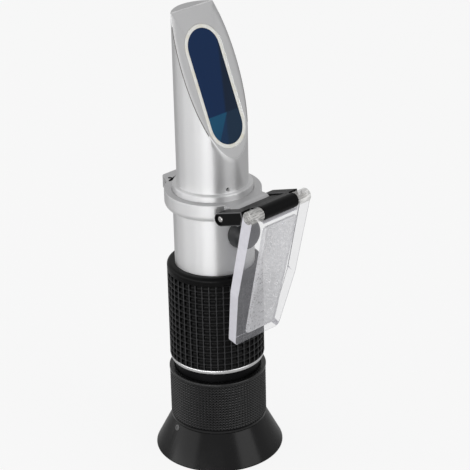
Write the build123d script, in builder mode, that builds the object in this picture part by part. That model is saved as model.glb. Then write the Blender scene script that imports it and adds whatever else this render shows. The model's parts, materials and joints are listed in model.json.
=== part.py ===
"""Handheld refractometer with a hinged daylight plate, built piece by piece.

Sizes are in millimetres. Z runs up the optical axis, from the eyecup's rim at Z = 0 to the tip of the head.
The front, where the prism face and the daylight plate are, is -Y. The rest pose is the one in which the
plate hangs open in front of the grip, on its double hinge.
"""
import os
from math import acos, atan2, cos, degrees, hypot, pi, radians, sin, sqrt

from build123d import *

os.makedirs("parts", exist_ok=True)

# Clearances
assembly_gap = 0.04  # radial, between pieces that are screwed or pushed together
running_gap = 0.07  # radial, between a shaft or sleeve and what it turns or slides in
axial_gap = 0.1  # between faces that turn on each other
clear_gap = 0.3  # between curved faces of pieces that move apart
stop_gap = 0.1  # left between a stop and what rests on it
past_all = 400.0  # size of a cut that goes past the whole part

# Eyecup
eyecup_rim_radius = 21.4
eyecup_height = 11.25
eyecup_wall = 1.6
eyecup_mouth_land = 1.2  # short straight wall inside the rim
eyecup_floor = 1.8
eyecup_spigot_length = 2.8
eyecup_spigot_wall = 0.9
eyecup_rim_round = 0.4
eye_opening_radius = 8.6

# Focus ring
ring_skirt = 1.53  # thickness of the ring round the neck
ring_length = 18.8
ring_wall = 1.7
ring_lip_stand = 0.3  # of the lip beyond the flutes
ring_lip_height = 1.0
ring_lip_round = 0.5
ring_foot_height = 1.1
ring_web = 1.6
ring_web_height = 3.4  # from the ring's lower end to the web's underside
ring_flutes = 90
ring_flute_depth = 0.35

# Lens tube, which the focus ring carries up and down
tube_wall = 1.9
tube_length = 27.9
tube_tail_length = 3.3
tube_tail_wall = 1.0
circlip_height = 0.8
circlip_depth = 0.45
circlip_rise = 1.0
circlip_gap = 2.4  # between the circlip's two ends
key_slot_width = 2.0
key_slot_depth = 0.9
focus_travel = 4.0

# Lenses of the eyepiece
lens_rim = 0.8  # width of the ring that holds each lens
eye_lens_edge = 2.4
eye_lens_sag = 1.3
field_lens_edge = 1.8
field_lens_sag = 1.6
lens_spacing = 9.5
retainer_height = 1.4
eye_lens_setback = 0.5

# Barrel, neck, trim ring and grip
barrel_radius = 13.06
barrel_wall = 1.46
focus_gap = 3.35  # dark neck seen between the focus ring and the trim ring
neck_wall = 1.15
trim_radius = 15.5
trim_height = 1.6
trim_chamfer = 0.25
grip_radius = 15.72
grip_length = 33.25
grip_band_height = 4.78
grip_rows = 13
grip_groove_depth = 0.55
grip_groove_width = 1.4
grip_lip_round = 1.2
barrel_exposed = 19.5

# Reticle
reticle_setback = 1.6
reticle_thickness = 1.5
reticle_holder_height = 4.6
reticle_rim = 1.3
reticle_nut_height = 1.2

# Objective on its bimetal strip
strip_width = 6.0
strip_thickness = 0.8
strip_length = 25.0
strip_overlap = 1.6  # how far the strip reaches past the calibration screw
strip_offset = 9.2  # of the strip's inner face from the axis
bracket_height = 6.0
bracket_width = 7.0
bracket_screw_radius = 0.8
bracket_screw_head_radius = 1.45
bracket_screw_head_height = 0.8
bracket_screw_spacing = 3.2
objective_radius = 6.4
objective_cell_wall = 1.1
objective_cell_height = 5.2
objective_cell_drop = 9.0  # from the calibration screw down to the cell's top
objective_edge = 2.0
objective_sag = 1.1

# Calibration screw and its cap
calibration_drop = 5.8  # from the collar's lower edge to the screw's axis
bush_radius = 4.0
bush_stand = 2.6  # how far the bush stands off the barrel
bush_flange = 0.9
screw_radius = 1.5
screw_head_radius = 2.6
screw_head_height = 1.2
screw_slot_width = 0.6
screw_slot_depth = 0.6
cap_skirt = 1.7
cap_crown = 3.6
cap_wall = 1.25

# Collar and its lugs
collar_radius = 15.73
collar_height = 6.1
collar_round = 2.3
front_lug_width = 16.2
rear_lug_reach = 19.4
rear_lug_width = 8.6
rear_lug_root_width = 14.4
rear_lug_root = 13.4  # distance of the lug's wide end from the axis
rear_lug_height = 4.6
rear_lug_fillet = 1.2
cord_hole_radius = 0.9
cord_hole_spacing = 9.0
cord_hole_distance = 15.4
cord_side_hole_radius = 0.75
cord_side_hole_drop = 2.0

# Prism head
head_radius = 11.56
head_length = 56.6  # above the flange
head_front = 10.84  # height of the cylinder's front above the flange
slant_angle = 22.4  # of the prism face from the axis
flange_rise = 2.06
flange_depth = 4.2  # of the flange inside the collar
flange_round = 0.55
head_base_fillet = 0.5
head_edge_chamfer = 0.25
head_spigot_length = 5.6
head_bore_radius = 5.4
light_path_reach = 12.5  # of the bore above the foot of the prism face
seal_section = 1.2  # side of the seal's square section
seal_drop = 2.8
head_screw_radius = 0.65
head_screw_length = 2.2
head_screw_setback = 0.5
head_screw_angle = 19.2
head_screw_rise = 1.25

# Prism and the sealant round it
prism_half_width = 6.41
prism_length = 37.45
prism_start = 4.98  # up the slant from its front edge
prism_depth = 4.4
sealant_width = 1.15
sealant_depth = 1.3
sealant_recess = 0.05

# Double hinge of the daylight plate
link_pin_reach = 15.75
link_pin_drop = 2.75  # below the collar's top
link_pin_radius = 1.05
link_length = 13.85
link_rest_angle = 18.6
link_inset = 0.5  # of the link's sides behind the plate's
link_half_height = 2.2
link_web_start = 3.6
link_web_drop = 0.4  # of the web's underside below the plane of the two axes
link_arm_end = 10.9
link_arm_chamfer = 1.5
link_pin_recess = 0.5
link_pin_recess_radius = 1.75
link_edge_round = 0.3
knuckle_radius = 2.3
knuckle_width = 14.8
knuckle_reach = 9.2  # of the room for the link's knuckle, along the plate
plate_pin_radius = 0.8
pin_setback = 0.35  # of each pin's ends behind the faces round them
pin_chamfer = 0.2

# Daylight plate
plate_width = 26.2
plate_end_width = 20.0
plate_length = 49.7
plate_taper_start = 29.0
plate_front = 1.9  # of the plate's front face from the hinge axis
plate_back = 2.1
plate_end_thickness = 3.1
plate_corner = 1.6
pad_width = 14.6
pad_length = 40.9
pad_overlap = 0.3  # of the pad past the sealant at the lower end
pad_film = 0.12  # room for the sample between the pad and the prism
pad_bevel = 0.5
plate_rest_gap = 0.2  # between the plate's free end and the grip

# Heights of the pieces along the axis
ring_bottom = eyecup_height
ring_top = ring_bottom + ring_length
trim_bottom = ring_top + focus_gap
grip_bottom = trim_bottom + trim_height
grip_top = grip_bottom + grip_length
collar_bottom = grip_top + barrel_exposed
collar_top = collar_bottom + collar_height
flange_top = collar_top + flange_rise
head_seat = collar_top - flange_depth
slant_base = flange_top + head_front
head_top = flange_top + head_length
calibration_height = collar_bottom - calibration_drop

# Radii that follow from the barrel
barrel_bore = barrel_radius - barrel_wall
sleeve_bore = barrel_radius + assembly_gap
tube_radius = barrel_bore - running_gap
tube_bore = tube_radius - tube_wall
tube_tail_radius = tube_bore + tube_tail_wall
lens_radius = tube_bore - assembly_gap
neck_radius = sleeve_bore + neck_wall
ring_radius = neck_radius + running_gap + ring_skirt
ring_lip_radius = ring_radius + ring_lip_stand

# Width of the link, which the plate hides
link_width = plate_width - 2 * link_inset


def side_plane(front, height, angle):
    """Side plane whose origin is at a point and whose x leans up from the front by an angle in degrees."""
    lean = radians(angle)
    return Plane(origin=(0, -front, height), x_dir=(0, -cos(lean), sin(lean)), z_dir=(-1, 0, 0))


def front_plane(front, height):
    """Plane that faces the front, with its x to the right of someone who looks at the front."""
    return Plane(origin=(0, -front, height), x_dir=(1, 0, 0), z_dir=(0, -1, 0))


def turned(points):
    """Solid turned about the axis from a closed outline of radius and height."""
    with BuildPart() as piece:
        with BuildSketch(Plane.XZ):
            with BuildLine():
                Polyline(*points, close=True)
            make_face()
        revolve(axis=Axis.Z)
    return piece


def plain_ring(outer, inner, bottom, top):
    """Plain ring between two radii and two heights."""
    return turned([(inner, bottom), (outer, bottom), (outer, top), (inner, top)])


def lens(radius, bottom, edge, sag_below, sag_above):
    """Round lens with a flat rim and spherical faces inside it, of which a flat one has a sag of 0."""
    top = bottom + edge
    face_radius = radius - lens_rim
    with BuildPart() as piece:
        with BuildSketch(Plane.XZ):
            with BuildLine():
                if sag_below:
                    TangentArc((0, bottom - sag_below), (face_radius, bottom), tangent=(1, 0))
                else:
                    Line((0, bottom), (face_radius, bottom))
                Polyline((face_radius, bottom), (radius, bottom), (radius, top), (face_radius, top))
                if sag_above:
                    TangentArc((0, top + sag_above), (face_radius, top), tangent=(1, 0))
                else:
                    Line((face_radius, top), (0, top))
                Line((0, top + sag_above), (0, bottom - sag_below))
            make_face()
        revolve(axis=Axis.Z)
    return piece


# Eyecup: a soft cone with a lip that closes it round the eye opening, and a spigot that grips the focus ring
spigot_radius = ring_radius - ring_wall - assembly_gap
cup_slope = (eyecup_rim_radius - ring_radius) / (eyecup_height - eyecup_rim_round)
cup_mouth_radius = eyecup_rim_radius - eyecup_wall
floor_bottom = eyecup_height - eyecup_floor
cup_floor_radius = cup_mouth_radius - cup_slope * (floor_bottom - eyecup_mouth_land)
with BuildPart() as eyecup:
    with BuildSketch(Plane.XZ):
        with BuildLine():
            Polyline(
                (cup_mouth_radius, 0),
                (eyecup_rim_radius - eyecup_rim_round, 0),
                (eyecup_rim_radius, eyecup_rim_round),
                (ring_radius, eyecup_height),
                (spigot_radius, eyecup_height),
                (spigot_radius, eyecup_height + eyecup_spigot_length),
                (spigot_radius - eyecup_spigot_wall, eyecup_height + eyecup_spigot_length),
                (spigot_radius - eyecup_spigot_wall, eyecup_height),
                (eye_opening_radius, eyecup_height),
                (eye_opening_radius, floor_bottom),
                (cup_floor_radius, floor_bottom),
                (cup_mouth_radius, eyecup_mouth_land),
                close=True,
            )
        make_face()
    revolve(axis=Axis.Z)

# Focus ring: fluted outside, with a web that a groove of the lens tube holds and a bore that runs on the neck
ring_bore = neck_radius + running_gap
web_bottom = ring_bottom + ring_web_height
web_top = web_bottom + ring_web
flutes_bottom = ring_bottom + ring_foot_height
flutes_top = ring_top - ring_lip_height
with BuildPart() as focus_ring:
    with BuildSketch(Plane.XZ):
        with BuildLine():
            Polyline(
                (ring_radius - ring_wall, ring_bottom),
                (ring_radius, ring_bottom),
                (ring_radius, flutes_top),
                (ring_lip_radius, flutes_top),
                (ring_lip_radius, ring_top),
                (ring_bore, ring_top),
                (ring_bore, web_top),
                (tube_tail_radius + running_gap, web_top),
                (tube_tail_radius + running_gap, web_bottom),
                (ring_radius - ring_wall, web_bottom),
                close=True,
            )
        make_face()
    revolve(axis=Axis.Z)
    lip_edges = focus_ring.edges().filter_by(GeomType.CIRCLE).sort_by(SortBy.RADIUS)[-2:]
    fillet(lip_edges.sort_by(Axis.Z)[-1], ring_lip_round)
    flute_half_width = pi * ring_radius / ring_flutes / 2
    with BuildSketch(Plane.XY.offset(flutes_bottom)):
        with PolarLocations(ring_radius, ring_flutes):
            Polygon(
                (-ring_flute_depth, 0),
                (ring_flute_depth, -2 * flute_half_width),
                (ring_flute_depth, 2 * flute_half_width),
                align=None,
            )
    extrude(amount=flutes_top - flutes_bottom, mode=Mode.SUBTRACT)

# Lens tube: slides in the barrel, kept from turning by a pin in its key slot
tube_bottom = web_top + axial_gap
tube_top = tube_bottom + tube_length
tail_bottom = tube_bottom - tube_tail_length
circlip_bottom = web_bottom - axial_gap - circlip_height
slot_top = tube_top - key_slot_width
key_slot_length = focus_travel + key_slot_width + 2 * stop_gap
slot_bottom = slot_top - key_slot_length
with BuildPart() as lens_tube:
    with BuildSketch(Plane.XZ):
        with BuildLine():
            Polyline(
                (tube_bore, tail_bottom),
                (tube_tail_radius, tail_bottom),
                (tube_tail_radius, circlip_bottom),
                (tube_tail_radius - circlip_depth, circlip_bottom),
                (tube_tail_radius - circlip_depth, circlip_bottom + circlip_height),
                (tube_tail_radius, circlip_bottom + circlip_height),
                (tube_tail_radius, tube_bottom),
                (tube_radius, tube_bottom),
                (tube_radius, tube_top),
                (tube_bore, tube_top),
                close=True,
            )
        make_face()
    revolve(axis=Axis.Z)
    with BuildSketch(front_plane(tube_radius - key_slot_depth, 0)):
        with Locations((0, (slot_top + slot_bottom) / 2)):
            SlotOverall(key_slot_length, key_slot_width, rotation=90)
    extrude(amount=key_slot_depth * 2, mode=Mode.SUBTRACT)

# Circlip that holds the focus ring's web on the lens tube
with BuildPart() as tube_circlip:
    with BuildSketch(Plane.XY.offset(circlip_bottom)):
        Circle(tube_tail_radius + circlip_rise)
        Circle(tube_tail_radius - circlip_depth + assembly_gap, mode=Mode.SUBTRACT)
        with Locations((0, tube_tail_radius)):
            Rectangle(circlip_gap, (circlip_rise + circlip_depth) * 2, mode=Mode.SUBTRACT)
    extrude(amount=circlip_height)

# Stack of lenses in the tube, from the eye upwards
lens_inner = lens_radius - lens_rim
eye_retainer_bottom = tail_bottom + eye_lens_setback
eye_lens_bottom = eye_retainer_bottom + retainer_height
spacer_bottom = eye_lens_bottom + eye_lens_edge
field_lens_bottom = spacer_bottom + lens_spacing
field_retainer_bottom = field_lens_bottom + field_lens_edge
eye_lens_retainer = plain_ring(lens_radius, lens_inner, eye_retainer_bottom, eye_lens_bottom)
eye_lens = lens(lens_radius, eye_lens_bottom, eye_lens_edge, eye_lens_sag, eye_lens_sag)
lens_spacer = plain_ring(lens_radius, lens_inner, spacer_bottom, field_lens_bottom)
field_lens = lens(lens_radius, field_lens_bottom, field_lens_edge, field_lens_sag, 0)
field_lens_retainer = plain_ring(
    lens_radius, lens_inner, field_retainer_bottom, field_retainer_bottom + retainer_height
)

# Barrel: one tube from inside the focus ring up to the head, with the hole of the calibration bush
barrel_bottom = tube_bottom + clear_gap
pin_height = slot_bottom + key_slot_width / 2 + stop_gap
key_pin_radius = key_slot_width / 2 - running_gap
with BuildPart() as barrel:
    with BuildSketch(Plane.XZ):
        with Locations((barrel_radius - barrel_wall / 2, (barrel_bottom + head_seat) / 2)):
            Rectangle(barrel_wall, head_seat - barrel_bottom)
    revolve(axis=Axis.Z)
    with BuildSketch(front_plane(0, calibration_height)):
        Circle(bush_radius - bush_flange + assembly_gap)
    extrude(amount=past_all, mode=Mode.SUBTRACT)
    with BuildSketch(front_plane(0, pin_height)):
        Circle(key_pin_radius + assembly_gap)
    extrude(amount=past_all, mode=Mode.SUBTRACT)

# Key pin: sits in the barrel's wall under the grip, with its tip in the slot of the lens tube
with BuildPart() as key_pin:
    with BuildSketch(front_plane(tube_radius - key_slot_depth + stop_gap, pin_height)):
        Circle(key_pin_radius)
    extrude(amount=barrel_bore + barrel_wall - tube_radius + key_slot_depth - stop_gap)

# Neck, trim ring and grip, pushed on over the barrel one above the other
neck_sleeve = plain_ring(neck_radius, sleeve_bore, barrel_bottom, trim_bottom)
with BuildPart() as trim_ring:
    with BuildSketch(Plane.XY.offset(trim_bottom)):
        Circle(trim_radius)
        Circle(sleeve_bore, mode=Mode.SUBTRACT)
    extrude(amount=trim_height)
    chamfer(trim_ring.edges().filter_by(GeomType.CIRCLE).sort_by(SortBy.RADIUS)[-2:], trim_chamfer)

# Grip: rows of ridges under a plain lip
row_pitch = (grip_length - grip_band_height) / grip_rows
land_half = (row_pitch - grip_groove_width) / 2
grip_core = grip_radius - grip_groove_depth
band_bottom = grip_top - grip_band_height
ridge_points = []
for row in range(grip_rows):
    ridge_centre = grip_bottom + (row + 0.5) * row_pitch
    ridge_points += [
        (grip_core, ridge_centre - row_pitch / 2),
        (grip_radius, ridge_centre - land_half),
        (grip_radius, ridge_centre + land_half),
    ]
with BuildPart() as grip_sleeve:
    with BuildSketch(Plane.XZ):
        with BuildLine():
            Polyline(
                (sleeve_bore, grip_bottom),
                *ridge_points,
                (grip_core, band_bottom),
                (grip_radius, band_bottom + grip_groove_width / 2),
                (grip_radius, grip_top),
                (sleeve_bore, grip_top),
                close=True,
            )
        make_face()
    revolve(axis=Axis.Z)
    fillet(grip_sleeve.edges().group_by(Axis.Z)[-1].sort_by(SortBy.RADIUS)[-1], grip_lip_round)

# Reticle: a glass disc with the scale, in a holder with a threaded ring above it
reticle_seat = tube_top + reticle_setback
reticle_bottom = reticle_seat + reticle_holder_height - reticle_thickness - reticle_nut_height
reticle_radius = barrel_bore - reticle_rim
with BuildPart() as reticle_holder:
    with BuildSketch(Plane.XZ):
        with BuildLine():
            Polyline(
                (reticle_radius - reticle_rim, reticle_seat),
                (barrel_bore - assembly_gap, reticle_seat),
                (barrel_bore - assembly_gap, reticle_seat + reticle_holder_height),
                (reticle_radius + assembly_gap, reticle_seat + reticle_holder_height),
                (reticle_radius + assembly_gap, reticle_bottom),
                (reticle_radius - reticle_rim, reticle_bottom),
                close=True,
            )
        make_face()
    revolve(axis=Axis.Z)
with BuildPart() as reticle_disc:
    with BuildSketch(Plane.XY.offset(reticle_bottom)):
        Circle(reticle_radius)
    extrude(amount=reticle_thickness)
nut_bottom = reticle_bottom + reticle_thickness
nut_top = nut_bottom + reticle_nut_height
reticle_nut = plain_ring(reticle_radius, reticle_radius - reticle_rim, nut_bottom, nut_top)

# Bimetal strip, bent by warmth and pushed by the calibration screw, with the objective on it
strip_top = calibration_height + strip_overlap
strip_bottom = strip_top - strip_length
with BuildPart() as bimetal_strip:
    with BuildSketch(front_plane(strip_offset, (strip_top + strip_bottom) / 2)):
        Rectangle(strip_width, strip_length)
    extrude(amount=strip_thickness)
    screw_holes_height = strip_bottom + bracket_height / 2
    with BuildSketch(front_plane(strip_offset, screw_holes_height)):
        with GridLocations(bracket_screw_spacing, 0, 2, 1):
            Circle(bracket_screw_radius + clear_gap)
    extrude(amount=strip_thickness, mode=Mode.SUBTRACT)

# Bracket that carries the strip's lower end, shaped to the barrel's wall, and its two screws
bracket_face = strip_offset + strip_thickness + axial_gap
with BuildPart() as strip_bracket:
    with BuildSketch(Plane.XY.offset(strip_bottom)):
        Circle(barrel_bore - assembly_gap)
        with Locations((0, -bracket_face + barrel_bore)):
            Rectangle(past_all, barrel_bore * 2, mode=Mode.SUBTRACT)
        Rectangle(bracket_width, past_all, mode=Mode.INTERSECT)
    extrude(amount=bracket_height)
screw_tip = strip_offset - axial_gap
with BuildPart() as bracket_screws:
    with BuildSketch(front_plane(screw_tip, screw_holes_height)):
        with GridLocations(bracket_screw_spacing, 0, 2, 1):
            Circle(bracket_screw_radius)
    extrude(amount=bracket_face - screw_tip)
    with BuildSketch(front_plane(screw_tip, screw_holes_height)):
        with GridLocations(bracket_screw_spacing, 0, 2, 1):
            Circle(bracket_screw_head_radius)
    extrude(amount=-bracket_screw_head_height)

# Objective cell, a ring with a pad that is fixed to the strip
cell_top = calibration_height - objective_cell_drop
cell_bottom = cell_top - objective_cell_height
cell_radius = objective_radius + assembly_gap + objective_cell_wall
lens_seat = cell_bottom + objective_cell_wall
with BuildPart() as objective_cell:
    with BuildSketch(Plane.XY.offset(cell_bottom)):
        Circle(cell_radius)
        with Locations((0, -strip_offset / 2)):
            Rectangle(strip_width, strip_offset)
    extrude(amount=objective_cell_height)
    with BuildSketch(Plane.XY.offset(cell_bottom)):
        Circle(objective_radius - lens_rim)
    extrude(amount=objective_cell_height, mode=Mode.SUBTRACT)
    with BuildSketch(Plane.XY.offset(lens_seat)):
        Circle(objective_radius + assembly_gap)
    extrude(amount=objective_cell_height, mode=Mode.SUBTRACT)
objective_lens = lens(objective_radius, lens_seat, objective_edge, 0, objective_sag)
objective_retainer = plain_ring(
    objective_radius, objective_radius - lens_rim, lens_seat + objective_edge, cell_top
)

# Calibration bush in the barrel's wall, and the slotted screw in it
bush_seat = sqrt(barrel_radius**2 - bush_radius**2)
bush_front = barrel_radius + bush_stand
with BuildPart() as calibration_bush:
    with BuildSketch(front_plane(bush_seat, calibration_height)):
        Circle(bush_radius)
    extrude(amount=bush_front - bush_seat)
    with BuildSketch(Plane.XY):
        Circle(sleeve_bore)
    extrude(amount=past_all, mode=Mode.SUBTRACT)
    with BuildSketch(front_plane(barrel_bore, calibration_height)):
        Circle(bush_radius - bush_flange)
    extrude(amount=bush_front - barrel_bore - screw_head_height)
    with BuildSketch(front_plane(0, calibration_height)):
        Circle(screw_radius + running_gap)
    extrude(amount=past_all, mode=Mode.SUBTRACT)
    with BuildSketch(front_plane(bush_front - screw_head_height - stop_gap, calibration_height)):
        Circle(screw_head_radius + running_gap)
    extrude(amount=past_all, mode=Mode.SUBTRACT)
adjuster_tip = strip_offset + strip_thickness + clear_gap * 2
with BuildPart() as calibration_screw:
    with BuildSketch(front_plane(adjuster_tip, calibration_height)):
        Circle(screw_radius)
    extrude(amount=bush_front - screw_head_height - adjuster_tip)
    with BuildSketch(front_plane(bush_front - screw_head_height, calibration_height)):
        Circle(screw_head_radius)
    extrude(amount=screw_head_height)
    with BuildSketch(front_plane(bush_front, calibration_height)):
        Rectangle(screw_head_radius * 2, screw_slot_width)
    extrude(amount=-screw_slot_depth, mode=Mode.SUBTRACT)

# Rubber cap over the calibration screw: a hollow dome whose skirt follows the barrel
cap_cavity_radius = bush_radius + clear_gap / 2
cap_radius = cap_cavity_radius + cap_wall
cap_base = sqrt(barrel_radius**2 - cap_radius**2)
cap_front = barrel_radius + cap_skirt
cap_axis = Axis((0, 0, calibration_height), (0, -1, 0))
with BuildPart() as calibration_cap:
    with BuildSketch(side_plane(0, calibration_height, 0)):
        with BuildLine():
            Polyline(
                (cap_front, cap_radius),
                (cap_base, cap_radius),
                (cap_base, 0),
                (cap_front + cap_crown, 0),
            )
            EllipticalCenterArc((cap_front, 0), cap_crown, cap_radius, start_angle=0, arc_size=90)
        make_face()
    revolve(axis=cap_axis)
    with BuildSketch(front_plane(0, calibration_height)):
        Circle(cap_cavity_radius)
    extrude(amount=bush_front + clear_gap, mode=Mode.SUBTRACT)
    with BuildSketch(Plane.XY):
        Circle(barrel_radius + clear_gap)
    extrude(amount=past_all, mode=Mode.SUBTRACT)

# Collar over the joint of barrel and head, with the hinge's lug in front and the carrying cord's lug behind
pivot_height = collar_top - link_pin_drop
link_lean = radians(link_rest_angle)
lug_side = front_lug_width / 2
stop_reach = link_web_start - stop_gap
stop_front = stop_reach * cos(link_lean) + link_web_drop * sin(link_lean)
stop_rise = stop_reach * sin(link_lean) - link_web_drop * cos(link_lean)
rear_lug_bottom = collar_top - rear_lug_height
cord_hole_offset = cord_hole_spacing / 2
with BuildPart() as collar:
    with BuildSketch(Plane.XY.offset(collar_bottom)):
        Circle(collar_radius)
    extrude(amount=collar_height)
    fillet(collar.faces().sort_by(Axis.Z)[0].edges(), collar_round)
    with BuildSketch(Plane.XY.offset(rear_lug_bottom)):
        with BuildLine():
            Polyline(
                (-rear_lug_root_width / 2, rear_lug_root),
                (-rear_lug_width / 2, rear_lug_reach),
                (rear_lug_width / 2, rear_lug_reach),
                (rear_lug_root_width / 2, rear_lug_root),
                (rear_lug_root_width / 2, barrel_radius),
                (-rear_lug_root_width / 2, barrel_radius),
                close=True,
            )
        make_face()
    extrude(amount=rear_lug_height)
    rear_face = collar.faces().sort_by(Axis.Y)[-1]
    chamfer(rear_face.edges().sort_by(Axis.Z)[0], rear_lug_fillet)
    with BuildSketch(side_plane(link_pin_reach, pivot_height, 0)):
        Circle(link_pin_drop)
        with BuildLine():
            Polyline(
                (0, stop_rise),
                (stop_front, stop_rise),
                (stop_front, -link_pin_drop),
                (barrel_radius - link_pin_reach, -link_pin_drop),
                (barrel_radius - link_pin_reach, link_pin_drop),
                (0, link_pin_drop),
                close=True,
            )
        make_face()
    extrude(amount=lug_side, both=True)
    with BuildSketch(Plane.XY.offset(collar_bottom)):
        Circle(sleeve_bore)
    extrude(amount=collar_height, mode=Mode.SUBTRACT)
    with BuildSketch(side_plane(link_pin_reach, pivot_height, 0)):
        Circle(link_pin_radius + running_gap)
    extrude(amount=lug_side, both=True, mode=Mode.SUBTRACT)
    with BuildSketch(Plane.XY.offset(rear_lug_bottom)):
        with Locations((0, cord_hole_distance)):
            with GridLocations(cord_hole_spacing, 0, 2, 1):
                Circle(cord_hole_radius)
    extrude(amount=rear_lug_height, mode=Mode.SUBTRACT)
    for end in (-1, 1):
        cord_hole_point = (end * cord_hole_offset, cord_hole_distance, collar_top - cord_side_hole_drop)
        with BuildSketch(Plane(origin=cord_hole_point, z_dir=(end, 0, 0))):
            Circle(cord_side_hole_radius)
        extrude(amount=past_all, mode=Mode.SUBTRACT)

# Prism head: turned, cut off along the prism face, with the prism's pocket and the bore of the light path
head_plane = Plane(
    origin=(0, -head_radius, slant_base),
    x_dir=(1, 0, 0),
    z_dir=(0, -cos(radians(slant_angle)), sin(radians(slant_angle))),
)
window_centre = prism_start + prism_length / 2
prism_width = prism_half_width * 2
sealant_outer_width = prism_width + 2 * sealant_width
sealant_outer_length = prism_length + 2 * sealant_width
spigot_bottom = head_seat - head_spigot_length
spigot_outer = barrel_bore - assembly_gap
seal_top = head_seat - seal_drop
seal_bottom = seal_top - seal_section
light_path_top = slant_base + light_path_reach
head_turn = radians(head_screw_angle)
head_screw_plane = Plane(
    origin=(0, 0, flange_top + head_screw_rise), x_dir=(0, 0, 1), z_dir=(-sin(head_turn), -cos(head_turn), 0)
)
with BuildPart() as prism_head:
    with BuildSketch(Plane.XZ):
        with BuildLine():
            Polyline(
                (0, spigot_bottom),
                (spigot_outer, spigot_bottom),
                (spigot_outer, seal_bottom),
                (spigot_outer - seal_section, seal_bottom),
                (spigot_outer - seal_section, seal_top),
                (spigot_outer, seal_top),
                (spigot_outer, head_seat),
                (barrel_radius, head_seat),
                (barrel_radius, flange_top),
                (head_radius, flange_top),
                (head_radius, head_top),
                (0, head_top),
                close=True,
            )
        make_face()
    revolve(axis=Axis.Z)
    shoulder = prism_head.edges().filter_by_position(Axis.Z, flange_top, flange_top).sort_by(SortBy.RADIUS)
    fillet(shoulder[-1], flange_round)
    shoulder = prism_head.edges().filter_by_position(Axis.Z, flange_top, flange_top).sort_by(SortBy.RADIUS)
    fillet(shoulder[0], head_base_fillet)
    with BuildSketch(head_plane):
        Rectangle(past_all, past_all)
    extrude(amount=past_all, mode=Mode.SUBTRACT)
    slant_face = prism_head.faces().sort_by(Axis(head_plane.origin, head_plane.z_dir))[-1]
    chamfer(slant_face.edges(), head_edge_chamfer)
    with BuildSketch(head_plane):
        with Locations((0, window_centre)):
            SlotOverall(sealant_outer_length, sealant_outer_width, rotation=90)
    extrude(amount=-sealant_depth, mode=Mode.SUBTRACT)
    with BuildSketch(head_plane):
        with Locations((0, window_centre)):
            SlotOverall(prism_length + 2 * assembly_gap, prism_width + 2 * assembly_gap, rotation=90)
    extrude(amount=-prism_depth - assembly_gap, mode=Mode.SUBTRACT)
    with BuildSketch(Plane.XY.offset(spigot_bottom)):
        Circle(head_bore_radius)
    extrude(amount=light_path_top - spigot_bottom, mode=Mode.SUBTRACT)
    with BuildSketch(head_screw_plane):
        Circle(head_screw_radius + assembly_gap)
    extrude(amount=past_all, mode=Mode.SUBTRACT)

# Seal in the groove of the head's spigot
head_seal = plain_ring(spigot_outer, spigot_outer - seal_section, seal_bottom, seal_top)

# Measuring prism, and the sealant that fills the gap round its edge
prism_top = head_plane.offset(-sealant_recess)
with BuildPart() as measuring_prism:
    with BuildSketch(head_plane):
        with Locations((0, window_centre)):
            SlotOverall(prism_length, prism_width, rotation=90)
    extrude(amount=-prism_depth)
with BuildPart() as prism_sealant:
    with BuildSketch(prism_top):
        with Locations((0, window_centre)):
            SlotOverall(sealant_outer_length - assembly_gap, sealant_outer_width - assembly_gap, rotation=90)
            SlotOverall(
                prism_length + assembly_gap, prism_width + assembly_gap, rotation=90, mode=Mode.SUBTRACT
            )
    extrude(amount=sealant_recess - sealant_depth)

# Grub screw that holds the prism in the head, sunk in its hole
with BuildPart() as head_grub_screw:
    with BuildSketch(head_screw_plane.offset(head_radius - head_screw_setback - head_screw_length)):
        Circle(head_screw_radius)
    extrude(amount=head_screw_length)

# Link of the double hinge: two arms beside the lug, a web across them and the knuckle that holds the plate
link_plane = side_plane(link_pin_reach, pivot_height, link_rest_angle)
hinge_front = link_pin_reach + link_length * cos(link_lean)
hinge_height = pivot_height + link_length * sin(link_lean)
arm_inner = lug_side + clear_gap
with BuildPart() as hinge_link:
    with BuildSketch(link_plane):
        Circle(link_half_height)
        with BuildLine():
            Polyline(
                (0, link_half_height),
                (link_arm_end, link_half_height),
                (link_arm_end, 0),
                (link_arm_end - link_arm_chamfer, -link_half_height),
                (0, -link_half_height),
                close=True,
            )
        make_face()
    extrude(amount=link_width / 2, both=True)
    outer_faces = hinge_link.faces().filter_by(Axis.X)
    fillet(outer_faces.sort_by(Axis.X)[0].edges() + outer_faces.sort_by(Axis.X)[-1].edges(), link_edge_round)
    with BuildSketch(link_plane):
        Rectangle(past_all, past_all)
    extrude(amount=arm_inner, both=True, mode=Mode.SUBTRACT)
    with BuildSketch(link_plane):
        with Locations(((link_web_start + link_arm_end) / 2, (link_half_height - link_web_drop) / 2)):
            Rectangle(link_arm_end - link_web_start, link_half_height + link_web_drop)
    extrude(amount=arm_inner, both=True)
    with BuildSketch(link_plane):
        with Locations((link_length, 0)):
            Circle(knuckle_radius)
        with Locations(((link_web_start + link_length) / 2, (link_half_height - link_web_drop) / 2)):
            Rectangle(link_length - link_web_start, link_half_height + link_web_drop)
    extrude(amount=knuckle_width / 2, both=True)
    with BuildSketch(link_plane):
        Circle(link_pin_radius + assembly_gap)
        with Locations((link_length, 0)):
            Circle(plate_pin_radius + assembly_gap)
    extrude(amount=link_width / 2, both=True, mode=Mode.SUBTRACT)
    for end in (-1, 1):
        with BuildSketch(Plane(link_plane.origin + Vector(end * link_width / 2, 0, 0), z_dir=(-end, 0, 0))):
            Circle(link_pin_recess_radius)
        extrude(amount=link_pin_recess, mode=Mode.SUBTRACT)

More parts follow.
